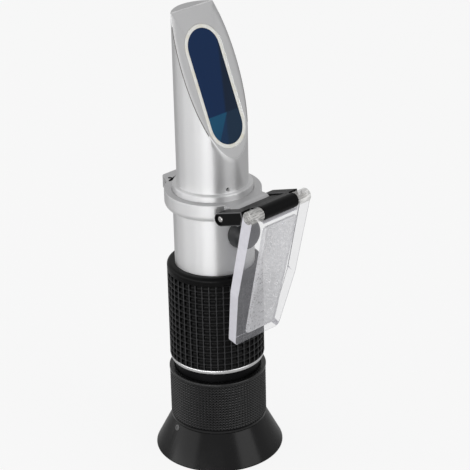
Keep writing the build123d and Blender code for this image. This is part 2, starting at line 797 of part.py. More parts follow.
# Pins of the double hinge
with BuildPart() as link_pin:
    with BuildSketch(side_plane(link_pin_reach, pivot_height, 0)):
        Circle(link_pin_radius)
    extrude(amount=link_width / 2 - pin_setback, both=True)
    chamfer(link_pin.faces().filter_by(Axis.X).edges(), pin_chamfer)
with BuildPart() as plate_pin:
    with BuildSketch(side_plane(hinge_front, hinge_height, 0)):
        Circle(plate_pin_radius)
    extrude(amount=plate_width / 2 - pin_setback, both=True)
    chamfer(plate_pin.faces().filter_by(Axis.X).edges(), pin_chamfer)

# Directions of the daylight plate from its hinge: closed on the prism, and at rest against the grip
closed_direction = 90 + slant_angle
end_back = plate_end_thickness - plate_front
rest_reach = grip_radius + plate_rest_gap - hinge_front
plate_diagonal = hypot(plate_length, end_back)
rest_direction = degrees(atan2(end_back, plate_length) - acos(rest_reach / plate_diagonal))
plate_plane = side_plane(hinge_front, hinge_height, rest_direction)
plate_face = Plane(origin=plate_plane.origin, x_dir=(-1, 0, 0), z_dir=plate_plane.y_dir)

# Where the plate's hinge lies against the prism face when the link stands upright
slant = radians(slant_angle)
closed_front = link_pin_reach - head_radius
closed_height = pivot_height + link_length - slant_base
prism_offset = closed_front * cos(slant) + closed_height * sin(slant)
prism_shift = closed_height * cos(slant) - closed_front * sin(slant)
pad_face = prism_offset - pad_film
pad_start = prism_start - sealant_width - prism_shift - pad_overlap
link_travel = 90 - link_rest_angle
plate_travel = closed_direction - rest_direction - link_travel

# Daylight plate: a clear tapered plate with a raised pad, and two knuckles beside the knuckle of the link
with BuildPart() as daylight_plate:
    with BuildSketch(plate_plane):
        with BuildLine():
            Polyline(
                (0, plate_front),
                (plate_length, plate_front),
                (plate_length, -end_back),
                (0, -plate_back),
                close=True,
            )
        make_face()
    extrude(amount=plate_width / 2, both=True)
    with BuildSketch(plate_face) as plate_outline:
        with BuildLine():
            Polyline(
                (-plate_width / 2, 0),
                (plate_width / 2, 0),
                (plate_width / 2, plate_taper_start),
                (plate_end_width / 2, plate_length),
                (-plate_end_width / 2, plate_length),
                (-plate_width / 2, plate_taper_start),
                close=True,
            )
        make_face()
        fillet(plate_outline.vertices().group_by(Axis.Y)[-1], plate_corner)
    extrude(amount=plate_width, both=True, mode=Mode.INTERSECT)
    with BuildSketch(plate_face.offset(plate_front)):
        with Locations((0, pad_start + pad_length / 2)):
            Rectangle(pad_width, pad_length)
    extrude(amount=pad_face - plate_front)
    pad_top = daylight_plate.faces().sort_by(Axis(plate_face.origin, plate_face.z_dir))[-1]
    chamfer(pad_top.edges(), pad_bevel)
    with BuildSketch(plate_plane):
        Circle(knuckle_radius + clear_gap)
        Rectangle(knuckle_reach, (knuckle_radius + clear_gap) * 2)
    extrude(amount=knuckle_width / 2 + axial_gap, both=True, mode=Mode.SUBTRACT)
    with BuildSketch(plate_plane):
        Circle(knuckle_radius)
    extrude(amount=plate_width / 2, both=True)
    with BuildSketch(plate_plane):
        Circle(knuckle_radius + clear_gap)
    extrude(amount=knuckle_width / 2 + axial_gap, both=True, mode=Mode.SUBTRACT)
    with BuildSketch(plate_plane):
        Circle(plate_pin_radius + running_gap)
    extrude(amount=plate_width / 2, both=True, mode=Mode.SUBTRACT)

pieces = {
    "eyecup": eyecup,
    "focus_ring": focus_ring,
    "lens_tube": lens_tube,
    "tube_circlip": tube_circlip,
    "eye_lens_retainer": eye_lens_retainer,
    "eye_lens": eye_lens,
    "lens_spacer": lens_spacer,
    "field_lens": field_lens,
    "field_lens_retainer": field_lens_retainer,
    "barrel": barrel,
    "key_pin": key_pin,
    "neck_sleeve": neck_sleeve,
    "trim_ring": trim_ring,
    "grip_sleeve": grip_sleeve,
    "reticle_holder": reticle_holder,
    "reticle_disc": reticle_disc,
    "reticle_nut": reticle_nut,
    "strip_bracket": strip_bracket,
    "bracket_screws": bracket_screws,
    "bimetal_strip": bimetal_strip,
    "objective_cell": objective_cell,
    "objective_lens": objective_lens,
    "objective_retainer": objective_retainer,
    "calibration_bush": calibration_bush,
    "calibration_screw": calibration_screw,
    "calibration_cap": calibration_cap,
    "collar": collar,
    "prism_head": prism_head,
    "head_seal": head_seal,
    "measuring_prism": measuring_prism,
    "prism_sealant": prism_sealant,
    "head_grub_screw": head_grub_screw,
    "hinge_link": hinge_link,
    "link_pin": link_pin,
    "plate_pin": plate_pin,
    "daylight_plate": daylight_plate,
}
for name, piece in pieces.items():
    piece.part.label = name
    export_step(piece.part, f"parts/{name}.step")
print(f"hinge axis {hinge_front:.3f} forward, {hinge_height:.3f} up")
print(f"pivot {link_pin_reach:.3f} forward, {pivot_height:.3f} up")
print(f"link travel {link_travel:.2f}, plate at rest {rest_direction:.2f}, travel {plate_travel:.2f} degrees")
print(f"pad face {pad_face:.3f} from the hinge, starts {pad_start:.2f}; prism {prism_offset:.3f}")
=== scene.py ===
"""Looks of a handheld refractometer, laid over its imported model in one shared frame.

Every piece that shows gets a finer surface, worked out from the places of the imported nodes, and each node
that stays gets its own finish. Sizes here are in millimetres and meshes are written in metres. Z runs up the
optical axis, and the front of the instrument, where its prism face is, looks along -Y.
"""

import json
import logging
import math
from dataclasses import dataclass, field
from enum import Enum
from typing import Sequence

import bmesh
import bpy
import numpy as np
from mathutils import Matrix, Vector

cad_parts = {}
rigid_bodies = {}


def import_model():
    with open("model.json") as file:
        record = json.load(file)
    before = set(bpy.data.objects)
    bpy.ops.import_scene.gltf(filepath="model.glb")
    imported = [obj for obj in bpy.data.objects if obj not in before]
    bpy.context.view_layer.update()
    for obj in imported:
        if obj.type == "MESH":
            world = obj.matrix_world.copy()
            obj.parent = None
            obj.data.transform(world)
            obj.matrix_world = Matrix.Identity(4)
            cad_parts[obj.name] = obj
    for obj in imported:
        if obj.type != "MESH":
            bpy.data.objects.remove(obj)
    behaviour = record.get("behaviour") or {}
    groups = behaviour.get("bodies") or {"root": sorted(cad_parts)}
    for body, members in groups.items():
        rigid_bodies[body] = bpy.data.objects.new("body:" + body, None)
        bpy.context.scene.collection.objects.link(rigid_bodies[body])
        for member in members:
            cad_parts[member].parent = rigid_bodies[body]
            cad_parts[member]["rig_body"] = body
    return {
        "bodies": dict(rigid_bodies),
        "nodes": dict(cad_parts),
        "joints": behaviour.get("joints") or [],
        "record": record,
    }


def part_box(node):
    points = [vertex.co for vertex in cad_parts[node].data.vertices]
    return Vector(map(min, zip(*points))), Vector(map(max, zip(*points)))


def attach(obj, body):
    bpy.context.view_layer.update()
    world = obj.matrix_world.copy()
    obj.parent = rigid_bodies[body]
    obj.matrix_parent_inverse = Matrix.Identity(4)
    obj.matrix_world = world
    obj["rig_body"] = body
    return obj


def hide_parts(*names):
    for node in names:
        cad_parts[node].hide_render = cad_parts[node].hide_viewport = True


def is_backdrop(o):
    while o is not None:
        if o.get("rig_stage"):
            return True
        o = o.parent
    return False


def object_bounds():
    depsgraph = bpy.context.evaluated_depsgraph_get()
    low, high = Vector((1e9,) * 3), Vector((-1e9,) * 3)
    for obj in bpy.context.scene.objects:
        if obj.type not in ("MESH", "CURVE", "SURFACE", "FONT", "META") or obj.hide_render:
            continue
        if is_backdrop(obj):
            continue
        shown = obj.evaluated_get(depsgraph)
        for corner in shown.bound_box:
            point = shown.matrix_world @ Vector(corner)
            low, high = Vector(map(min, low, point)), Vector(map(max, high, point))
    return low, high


LOG = logging.getLogger("refractometer")
METRES = 0.001
MERGE_DISTANCE = 1e-7
SHARP_ANGLE = math.radians(32)
SHARPEST_MITRE = 0.3  # least cosine between a corner's bisector and its sides' normals
PRESS_GAP = 0.04  # radial, between pieces that are pushed together
RUNNING_GAP = 0.07  # radial, between a ring and what it turns on
OVERCUT = 1.0  # how far a cutting tool goes past what it cuts, at least
GLASS_IOR = 1.52
PRISM_IOR = 1.5
ACRYLIC_IOR = 1.49

Point = tuple[float, float, float]
Colour = tuple[float, float, float]
Corners = Sequence[Sequence[float]]


def unit(vectors: np.ndarray) -> np.ndarray:
    """Each vector divided by its length, or left as it is where it has none."""
    length = np.linalg.norm(vectors, axis=-1, keepdims=True)
    return vectors / np.where(length < 1e-12, 1.0, length)


def at_level(outline: np.ndarray, level: np.ndarray | float) -> np.ndarray:
    """Flat outline's points with a third coordinate: one level for all, or one for each."""
    return np.column_stack([outline, np.broadcast_to(level, len(outline))])


def circle_angles(count: int = 192) -> np.ndarray:
    """Angles that divide a full turn evenly, without its end."""
    return np.arange(count) * 2 * math.pi / count


def rounded(corners: Corners, radius: float | Sequence[float], steps: int = 5) -> np.ndarray:
    """Closed outline whose corners are arcs.

    An arc's centre lies on the corner's bisector, its radius over the sine of half the corner away, and its
    points turn evenly from one side's tangent point to the other's.

    Args:
        corners: The outline's corners, in order.
        radius: One radius for all corners, or one for each.
        steps: How many pieces each arc has.

    Returns:
        The outline's points, one row each.
    """
    corner = np.array(corners, float)
    radii = np.broadcast_to(np.array(radius, float), len(corner))[:, None]
    back = unit(np.roll(corner, 1, axis=0) - corner)
    ahead = unit(np.roll(corner, -1, axis=0) - corner)
    half = np.arccos(np.clip(np.sum(back * ahead, axis=1, keepdims=True), -1.0, 1.0)) / 2
    centre = corner + unit(back + ahead) * radii / np.sin(half)
    first = corner + back * radii / np.tan(half) - centre
    last = corner + ahead * radii / np.tan(half) - centre
    turn = np.maximum(math.pi - 2 * half, 1e-6)[:, :, None]
    share = np.linspace(0, 1, steps + 1)[None, :, None]
    arcs = np.sin((1 - share) * turn) * first[:, None] + np.sin(share * turn) * last[:, None]
    points = (centre[:, None] + arcs / np.sin(turn)).reshape(-1, 2)
    apart = np.linalg.norm(points - np.roll(points, 1, axis=0), axis=1) > 1e-6
    return points[apart]


def inset(outline: np.ndarray, distance: float) -> np.ndarray:
    """Closed outline moved inwards, each point along the bisector of its two sides' normals.

    Args:
        outline: The outline's points, one row each.
        distance: How far its sides move inwards, or outwards where it is negative.

    Returns:
        As many points, in the same order.
    """
    following = np.roll(outline, -1, axis=0)
    area = np.sum(outline[:, 0] * following[:, 1] - outline[:, 1] * following[:, 0])
    ahead = unit(following - outline)
    back = np.roll(ahead, 1, axis=0)
    turned_ahead = np.stack([-ahead[:, 1], ahead[:, 0]], axis=1) * np.sign(area)
    turned_back = np.stack([-back[:, 1], back[:, 0]], axis=1) * np.sign(area)
    normal = unit(turned_ahead + turned_back)
    slope = np.sum(normal * turned_ahead, axis=1, keepdims=True)
    return outline + normal * distance / np.maximum(slope, SHARPEST_MITRE)


def slot_outline(length: float, width: float, steps: int = 24) -> np.ndarray:
    """Slot with round ends, centred on nil: half a circle at each end of a straight stretch.

    Args:
        length: The slot's length over its ends, along the second coordinate.
        width: Its width.
        steps: How many pieces each half circle has.

    Returns:
        The outline's points, one row each.
    """
    turn = np.linspace(0, math.pi, steps + 1)
    top = np.stack([np.cos(turn), np.sin(turn)], axis=1) * width / 2
    top[:, 1] += (length - width) / 2
    return np.concatenate([top, -top])


@dataclass(frozen=True)
class Place:
    """Where a shape worked out in its own coordinates stands in the part.

    Its three directions are those of the shape's first, second and third coordinate.
    """

    origin: Point = (0.0, 0.0, 0.0)
    first: Point = (1.0, 0.0, 0.0)
    second: Point = (0.0, 1.0, 0.0)
    third: Point = (0.0, 0.0, 1.0)

    def points(self, local: np.ndarray) -> np.ndarray:
        """The origin plus each coordinate times its direction."""
        return np.array(self.origin) + local @ np.array([self.first, self.second, self.third])

    @staticmethod
    def leaning(front: float, height: float, angle: float) -> "Place":
        """Side view: its second coordinate is square to the first, and its third runs across the part.

        Args:
            front: How far in front of the axis it starts.
            height: At which height.
            angle: How steeply the first coordinate rises towards the front, in degrees.

        Returns:
            The place.
        """
        lean = math.radians(angle)
        return Place(
            origin=(0.0, -front, height),
            first=(0.0, -math.cos(lean), math.sin(lean)),
            second=(0.0, math.sin(lean), math.cos(lean)),
            third=(1.0, 0.0, 0.0),
        )

    @staticmethod
    def facing_front(height: float) -> "Place":
        """Front view from the axis at a height, with its third coordinate towards the front."""
        return Place((0.0, 0.0, height), (1.0, 0.0, 0.0), (0.0, 0.0, 1.0), (0.0, -1.0, 0.0))


def linked(name: str, data: bpy.types.ID) -> bpy.types.Object:
    """Puts a new object in the scene.

    Args:
        name: The object's name.
        data: Its mesh, lamp or camera.

    Returns:
        The object.
    """
    made = bpy.data.objects.new(name, data)
    bpy.context.scene.collection.objects.link(made)
    return made


def looking(right: np.ndarray, up: np.ndarray, back: np.ndarray, spot: np.ndarray) -> Matrix:
    """Stands a lamp or camera somewhere, looking against its third direction.

    Args:
        right: Its first direction.
        up: Its second direction.
        back: Its third direction.
        spot: Where it is, in metres.

    Returns:
        The matrix whose columns are these four.
    """
    place = np.eye(4)
    place[:3] = np.column_stack([right, up, back, spot])
    return Matrix(place.tolist())


def mesh_piece(name: str, points: np.ndarray, loop: bool = False, capped: bool = False) -> bpy.types.Object:
    """Makes a mesh from a grid of points whose columns close on themselves.

    Rows that shrink to one point become a pole, because points in one place are merged.

    Args:
        name: The piece's name.
        points: Rows by columns by three, in millimetres.
        loop: Whether the last row joins the first.
        capped: Whether a flat face closes the first row and the last.

    Returns:
        The new object, at the origin, with its faces outwards.
    """
    rows, columns = points.shape[:2]
    row = np.arange(rows if loop else rows - 1)[:, None]
    column = np.arange(columns)[None, :]
    beside = (column + 1) % columns
    above = (row + 1) % rows
    here, there = row * columns, above * columns
    quads = np.stack([here + column, here + beside, there + beside, there + column], axis=-1)
    faces = quads.reshape(-1, 4).tolist()
    if capped:
        faces += [list(range(columns)), list(range((rows - 1) * columns, rows * columns))]
    mesh = bpy.data.meshes.new(name)
    mesh.from_pydata((points.reshape(-1, 3) * METRES).tolist(), [], faces)
    work = bmesh.new()
    work.from_mesh(mesh)
    bmesh.ops.remove_doubles(work, verts=work.verts, dist=MERGE_DISTANCE)
    bmesh.ops.dissolve_degenerate(work, edges=work.edges, dist=MERGE_DISTANCE)
    bmesh.ops.recalc_face_normals(work, faces=work.faces)
    work.to_mesh(mesh)
    work.free()
    return linked(name, mesh)


def turned(
    name: str, profile: np.ndarray, angles: np.ndarray, relief: np.ndarray | float = 0.0, loop: bool = True
) -> bpy.types.Object:
    """Turns a profile about the axis: a point lies at its radius plus the relief, at its column's angle.

    Args:
        name: The piece's name.
        profile: Radius and height of each row.
        angles: The angle of each column.
        relief: What is added to the radius, rows by columns.
        loop: Whether the profile closes on itself, and doesn't run from pole to pole.

    Returns:
        The new object.
    """
    radius = profile[:, :1] + relief
    points = np.broadcast_arrays(radius * np.cos(angles), radius * np.sin(angles), profile[:, 1:])
    return mesh_piece(name, np.stack(points, axis=-1), loop=loop)


def extruded(
    name: str, outline: np.ndarray, low: float, high: float, round_off: float, place: Place, steps: int = 3
) -> bpy.types.Object:
    """Draws an outline out between two levels, with rims that turn over in a quarter circle.

    Args:
        name: The piece's name.
        outline: The closed outline, in the place's first two coordinates.
        low: The lower level, along the third.
        high: The upper level.
        round_off: The radius of both rims.
        place: Where the shape stands.
        steps: How many strips each rim has.

    Returns:
        The new object, closed by flat faces.
    """
    return mesh_piece(name, place.points(rim_rings(outline, low, high, round_off, steps)), capped=True)


def rim_rings(outline: np.ndarray, low: float, high: float, round_off: float, steps: int) -> np.ndarray:
    """Rings of an extrusion with rounded rims.

    At an angle up a rim, the outline is inset by the rim's radius times one less the angle's sine, and stands
    that radius times one less its cosine from the level.

    Args:
        outline: The closed outline.
        low: The lower level.
        high: The upper level.
        round_off: The radius of both rims.
        steps: How many strips each rim has.

    Returns:
        The rings from the lower level up, with three coordinates to a point.
    """
    turn = np.linspace(0, math.pi / 2, steps + 1) if round_off else np.zeros(1)
    rings = []
    for angle in turn:
        ring = inset(outline, round_off * (1 - math.sin(angle))) if round_off else outline
        rings.append((ring, round_off * (1 - math.cos(angle))))
    lower = [at_level(ring, low + rise) for ring, rise in rings]
    upper = [at_level(ring, high - rise) for ring, rise in reversed(rings)]
    return np.array(lower + upper)


def box_outline(low: tuple[float, float], high: tuple[float, float]) -> np.ndarray:
    """Rectangle as a closed outline, from its lowest corner."""
    return np.array([low, (high[0], low[1]), high, (low[0], high[1])])


def disc_outline(radius: float, centre: tuple[float, float] = (0.0, 0.0), count: int = 64) -> np.ndarray:
    """Circle as a closed outline: its centre plus the radius times the cosine and sine of even angles."""
    turn = circle_angles(count)
    return np.array(centre) + radius * np.stack([np.cos(turn), np.sin(turn)], axis=1)


class Cut(Enum):
    """What a boolean step does with its tools."""

    JOIN = "UNION"
    TAKE = "DIFFERENCE"


def combined(base: bpy.types.Object, cut: Cut, tools: Sequence[bpy.types.Object]) -> bpy.types.Object:
    """Joins solids to a base, or takes them out of it, and removes them.

    Args:
        base: The piece that is changed.
        cut: Whether the tools are joined to it or taken out.
        tools: Closed solids.

    Returns:
        The base.
    """
    for tool in tools:
        step = base.modifiers.new(tool.name, "BOOLEAN")
        step.operation = cut.value
        step.solver = "EXACT"
        step.object = tool
    bpy.context.view_layer.update()
    graph = bpy.context.evaluated_depsgraph_get()
    mesh = bpy.data.meshes.new_from_object(base.evaluated_get(graph))
    base.modifiers.clear()
    old = base.data
    base.data = mesh
    bpy.data.meshes.remove(old)
    mesh.name = base.name
    for tool in tools:
        spare = tool.data
        bpy.data.objects.remove(tool)
        bpy.data.meshes.remove(spare)
    return base


def face_places(piece: bpy.types.Object, place: Place = Place()) -> tuple[np.ndarray, np.ndarray]:
    """Where each face lies and which way it looks, in a place's own coordinates.

    Args:
        piece: The piece whose faces are read.
        place: The place that they are measured from.

    Returns:
        The centres in millimetres and the normals, one row for each face.
    """
    faces = piece.data.polygons
    centres, normals = np.empty(len(faces) * 3), np.empty(len(faces) * 3)
    faces.foreach_get("center", centres)
    faces.foreach_get("normal", normals)
    axes = np.array([place.first, place.second, place.third]).T
    return (centres.reshape(-1, 3) / METRES - np.array(place.origin)) @ axes, normals.reshape(-1, 3) @ axes


def paint(piece: bpy.types.Object, kinds: np.ndarray) -> None:
    """Gives each face the material whose index its kind is."""
    piece.data.polygons.foreach_set("material_index", kinds.astype(np.int32))


def wave(share: np.ndarray, low: float, high: float) -> np.ndarray:
    """Tooth of a repeated pattern: nil up to low from each end of a period, one past high, and even between.

    Args:
        share: How far through its period each sample is, from 0 to 1.
        low: Where the tooth's flank starts.
        high: Where it ends.

    Returns:
        The tooth's height, from 0 to 1.
    """
    reach = np.minimum(share % 1.0, 1.0 - share % 1.0)
    return np.clip((reach - low) / (high - low), 0.0, 1.0)


class Signal:
    """A shader socket that adds its own Math nodes where it is used in an expression."""

    def __init__(self, shader: "Nodes", socket: bpy.types.NodeSocket) -> None:
        """Keeps the socket with the tree that it belongs to."""
        self.shader = shader
        self.socket = socket

    def math(self, operation: str, *others: "Signal | float") -> "Signal":
        """One Math node of that operation, with this signal first."""
        values = dict(enumerate((self, *others)))
        return self.shader.node("ShaderNodeMath", {"operation": operation}, values)

    def __add__(self, other: "Signal | float") -> "Signal":
        """Sum."""
        return self.math("ADD", other)

    __radd__ = __add__

    def __mul__(self, other: "Signal | float") -> "Signal":
        """Product."""
        return self.math("MULTIPLY", other)

    __rmul__ = __mul__

    def __sub__(self, other: "Signal | float") -> "Signal":
        """Difference."""
        return self.math("SUBTRACT", other)

    def __rsub__(self, other: float) -> "Signal":
        """Difference from a number."""
        return self.shader.node("ShaderNodeMath", {"operation": "SUBTRACT"}, {0: other, 1: self})

    def step(self, low: float, high: float) -> "Signal":
        """Smooth step, which falls where high is less than low.

        Args:
            low: The value up to which it is nil.
            high: The value from which it is one.

        Returns:
            The step.
        """
        return self.shader.node(
            "ShaderNodeMapRange",
            {"interpolation_type": "SMOOTHSTEP"},
            {"Value": self, "From Min": low, "From Max": high, "To Min": 0.0, "To Max": 1.0},
        )


class Nodes:
    """A node tree whose nodes are added by calls that give their type, settings and sockets."""

    def __init__(self, owner: bpy.types.Material | bpy.types.World) -> None:
        """Clears a tree.

        Args:
            owner: The material or world whose tree it is.
        """
        owner.use_nodes = True
        self.tree = owner.node_tree
        self.tree.nodes.clear()

    def add(self, kind: str, settings: dict[str, object], values: dict[str | int, object]) -> bpy.types.Node:
        """Adds a node.

        Args:
            kind: The node's type.
            settings: Its own settings, which are made first.
            values: A number, tuple or signal for each named or counted socket.

        Returns:
            The node.
        """
        made = self.tree.nodes.new(kind)
        for key, value in settings.items():
            setattr(made, key, value)
        for key, value in values.items():
            if isinstance(value, Signal):
                self.tree.links.new(value.socket, made.inputs[key])
            else:
                made.inputs[key].default_value = value
        return made

    def node(
        self, kind: str, settings: dict[str, object], values: dict[str | int, object], output: int | str = 0
    ) -> Signal:
        """Adds a node as add does, and gives one of its outputs."""
        return Signal(self, self.add(kind, settings, values).outputs[output])

    def end(self, surface: Signal, kind: str = "ShaderNodeOutputMaterial") -> None:
        """Adds the tree's output for a surface."""
        self.add(kind, {}, {"Surface": surface})


class Shader(Nodes):
    """One material's nodes."""

    def __init__(self, name: str) -> None:
        """Makes an empty material with that name."""
        self.material = bpy.data.materials.new(name)
        super().__init__(self.material)

    def spot(self, scale: Point = (1.0, 1.0, 1.0)) -> Signal:
        """Place on the piece in millimetres.

        Args:
            scale: What each coordinate is multiplied by.

        Returns:
            The place as a vector.
        """
        coordinates = self.node("ShaderNodeTexCoord", {}, {}, "Object")
        values = {"Vector": coordinates, "Scale": tuple(each / METRES for each in scale)}
        return self.node("ShaderNodeMapping", {"vector_type": "POINT"}, values)

    def parts(self, vector: Signal) -> tuple[Signal, Signal, Signal]:
        """The three coordinates of a vector."""
        split = self.add("ShaderNodeSeparateXYZ", {}, {"Vector": vector})
        return tuple(Signal(self, output) for output in split.outputs)

    def noise(self, vector: Signal, scale: float, detail: float = 3.0, roughness: float = 0.5) -> Signal:
        """Cloudy noise from 0 to 1.

        Args:
            vector: The place on the piece.
            scale: How many clouds there are to a millimetre.
            detail: How many finer layers there are.
            roughness: How strong these are.

        Returns:
            The noise.
        """
        values = {"Vector": vector, "Scale": scale, "Detail": detail, "Roughness": roughness}
        return self.node("ShaderNodeTexNoise", {}, values)

    def blend(self, factor: "Signal | float", first: "Signal | Colour", second: "Signal | Colour") -> Signal:
        """Colour between two, by a factor from 0 to 1."""
        opaque = [each if isinstance(each, Signal) else (*each, 1.0) for each in (first, second)]
        return self.node("ShaderNodeMix", {"data_type": "RGBA"}, {0: factor, 6: opaque[0], 7: opaque[1]}, 2)

    def bump(self, height: Signal, depth: float) -> Signal:
        """Normal of a surface with that relief, whose depth is in millimetres."""
        values = {"Height": height, "Strength": 1.0, "Distance": depth * METRES}
        return self.node("ShaderNodeBump", {}, values)

    def finish(self, **sockets: "Signal | float | Colour") -> bpy.types.Material:
        """Adds the surface shader.

        Args:
            sockets: What its sockets get, by their names with underscores for spaces.

        Returns:
            The finished material.
        """
        values = {}
        for key, value in sockets.items():
            colour = isinstance(value, tuple) and len(value) == 3
            values[key.replace("_", " ")] = (*value, 1.0) if colour else value
        self.end(self.node("ShaderNodeBsdfPrincipled", {}, values))
        return self.material


class Grain(Enum):
    """How a metal surface was finished, as the stretch of its fine marks along X, Y and Z."""

    TURNED = (0.05, 0.05, 7.0)
    BLASTED = (9.0, 9.0, 9.0)
    DRAWN = (6.0, 0.3, 6.0)


@dataclass(frozen=True)
class Metal:
    """Metal with fine marks that vary its tone and roughness and stand out as a slight relief."""

    name: str
    colour: Colour
    roughness: float
    grain: Grain
    marks: float = 0.06
    relief: float = 0.004
    stretch: float = 0.0

    def material(self) -> bpy.types.Material:
        """Makes the material. Its stretch draws reflections out along the axis, as fine turned grooves do.

        Returns:
            The material.
        """
        shader = Shader(self.name)
        fine = shader.noise(shader.spot(self.grain.value), 1.0, 4.0, 0.6)
        broad = shader.noise(shader.spot(), 0.12, 2.0)
        tone = (fine - 0.5) * self.marks + (broad - 0.5) * self.marks + 0.5
        dark = tuple(each * (1 - 2 * self.marks) for each in self.colour)
        light = tuple(min(1.0, each * (1 + 2 * self.marks)) for each in self.colour)
        return shader.finish(
            Base_Color=shader.blend(tone, dark, light),
            Metallic=1.0,
            Roughness=(fine - 0.5) * self.marks * 2 + self.roughness,
            Anisotropic=self.stretch,
            Anisotropic_Rotation=0.25,
            Normal=shader.bump(fine, self.relief),
        )


@dataclass(frozen=True)
class WearAndHighlight:
    """Paler tone of what stands out past a radius from the axis, up to a height: wear, and on the grip's ribs
    also a painted highlight.
    """

    start: float
    end: float
    colour: Colour
    top: float = 200.0
    fade: float = 0.2


@dataclass(frozen=True)
class Moulded:
    """Black rubber or plastic with a fine grain, some of it paler from wear, and on the grip's ribs from a
    painted highlight.
    """

    name: str
    colour: Colour
    roughness: float
    shine: float
    grain: float = 5.0
    relief: float = 0.01
    wear_and_highlight: WearAndHighlight | None = None

    def material(self) -> bpy.types.Material:
        """Makes the material.

        Returns:
            The material.
        """
        shader = Shader(self.name)
        spot = shader.spot()
        fine = shader.noise(spot, self.grain, 3.0, 0.6)
        broad = shader.noise(spot, 0.25, 3.0)
        dark = tuple(each * 0.8 for each in self.colour)
        colour = shader.blend((broad - 0.5) * 0.6 + 0.5, dark, self.colour)
        wear_and_highlight = self.wear_and_highlight
        if wear_and_highlight:
            x, y, z = shader.parts(spot)
            reach = (x * x + y * y).math("SQRT")
            # Paler past a radius: wear, and on the grip's rib crests a painted highlight
            wear_and_highlight_share = reach.step(wear_and_highlight.start, wear_and_highlight.end) * z.step(wear_and_highlight.top + wear_and_highlight.fade, wear_and_highlight.top)
            colour = shader.blend(wear_and_highlight_share * (broad * 0.5 + 0.5), colour, wear_and_highlight.colour)
        return shader.finish(
            Base_Color=colour,
            Roughness=(fine - 0.5) * 0.12 + (broad - 0.5) * 0.1 + self.roughness,
            Specular_IOR_Level=self.shine,
            Normal=shader.bump(fine, self.relief),
        )


@dataclass(frozen=True)
class Lens:
    """Clear coated glass."""

    name: str
    colour: Colour

    def material(self) -> bpy.types.Material:
        """Makes the material.

        Returns:
            The material.
        """
        shader = Shader(self.name)
        haze = shader.noise(shader.spot(), 0.4, 4.0)
        return shader.finish(
            Base_Color=shader.blend(haze, self.colour, tuple(each * 0.97 for each in self.colour)),
            Roughness=haze * 0.03,
            IOR=GLASS_IOR,
            Transmission_Weight=1.0,
        )


@dataclass(frozen=True)
class PrismGlass:
    """Polished prism over a dark blue coating, with painted reflections of its inner faces as bands of other
    blues.

    A band's edge is a line on the prism face: a height, its place across the face there, and its slope.
    """

    name: str
    foot: Point
    lean: float
    deep: Colour = (0.0050, 0.0240, 0.0820)
    # The next three colours are painted reflections of the prism's inner faces: a darker band, a paler facet
    # and a corner tone
    dark_reflection: Colour = (0.0070, 0.0170, 0.0400)
    facet_reflection: Colour = (0.0100, 0.0850, 0.1700)
    corner: Colour = (0.0180, 0.0500, 0.0950)
    dark_reflection_line: tuple[float, float, float] = (15.6, 1.18, 0.247)
    facet_reflection_line: tuple[float, float, float] = (14.86, 1.37, 0.745)
    facet_reflection_top: tuple[float, float] = (15.1, 14.7)
    facet_reflection_fade: tuple[float, float] = (5.0, 13.0)

    @staticmethod
    def past(x: Signal, rise: Signal, line: tuple[float, float, float]) -> Signal:
        """How far across the face a point lies past a line."""
        height, across, slope = line
        return x - (rise - height) * slope - across

    def material(self) -> bpy.types.Material:
        """Makes the material.

        Returns:
            The material.
        """
        shader = Shader(self.name)
        lean = math.radians(self.lean)
        x, y, z = shader.parts(shader.spot())
        rise = (y - self.foot[1]) * math.sin(lean) + (z - self.foot[2]) * math.cos(lean)
        # Painted reflection: a darker band past a line across the face
        colour = shader.blend(self.past(x, rise, self.dark_reflection_line).step(-0.9, 0.5), self.deep, self.dark_reflection)
        below = rise.step(*self.facet_reflection_top)
        inside = self.past(x, rise, self.facet_reflection_line).step(0.3, -0.3)
        cloud = shader.noise(shader.spot((0.3, 0.3, 0.3)), 0.8, 2.0)
        fade = (rise.step(*self.facet_reflection_fade) * 0.35 + 0.65) * (cloud * 0.3 + 0.75)
        # Painted reflection of a paler inner facet, fading up the face in cloudy patches
        colour = shader.blend(below * inside * fade, colour, self.facet_reflection)
        # Painted reflection of the corner beside that facet
        colour = shader.blend(below * (1 - inside) * 0.4, colour, self.corner)
        return shader.finish(
            Base_Color=colour,
            Roughness=cloud * 0.04 + 0.05,
            IOR=PRISM_IOR,
            Specular_IOR_Level=0.16,
            Coat_Weight=0.04,
        )


@dataclass(frozen=True)
class Sealant:
    """Cream sealant, a little yellower in cloudy patches."""

    name: str
    colour: Colour = (0.86, 0.86, 0.83)
    aged: Colour = (0.80, 0.77, 0.66)

    def material(self) -> bpy.types.Material:
        """Makes the material.

        Returns:
            The material.
        """
        shader = Shader(self.name)
        spot = shader.spot()
        cloud = shader.noise(spot, 0.5, 3.0)
        fine = shader.noise(spot, 4.0, 3.0)
        return shader.finish(
            Base_Color=shader.blend(cloud.step(0.35, 0.8), self.colour, self.aged),
            Roughness=fine * 0.1 + 0.35,
            Normal=shader.bump(fine, 0.01),
        )


class Acrylic(Enum):
    """Faces of the clear plate that look different, some with painted reflections and painted shade."""

    FRONT = 0
    BACK = 1
    EDGE = 2
    RIM = 3
    PAD = 4
    KNUCKLE = 5


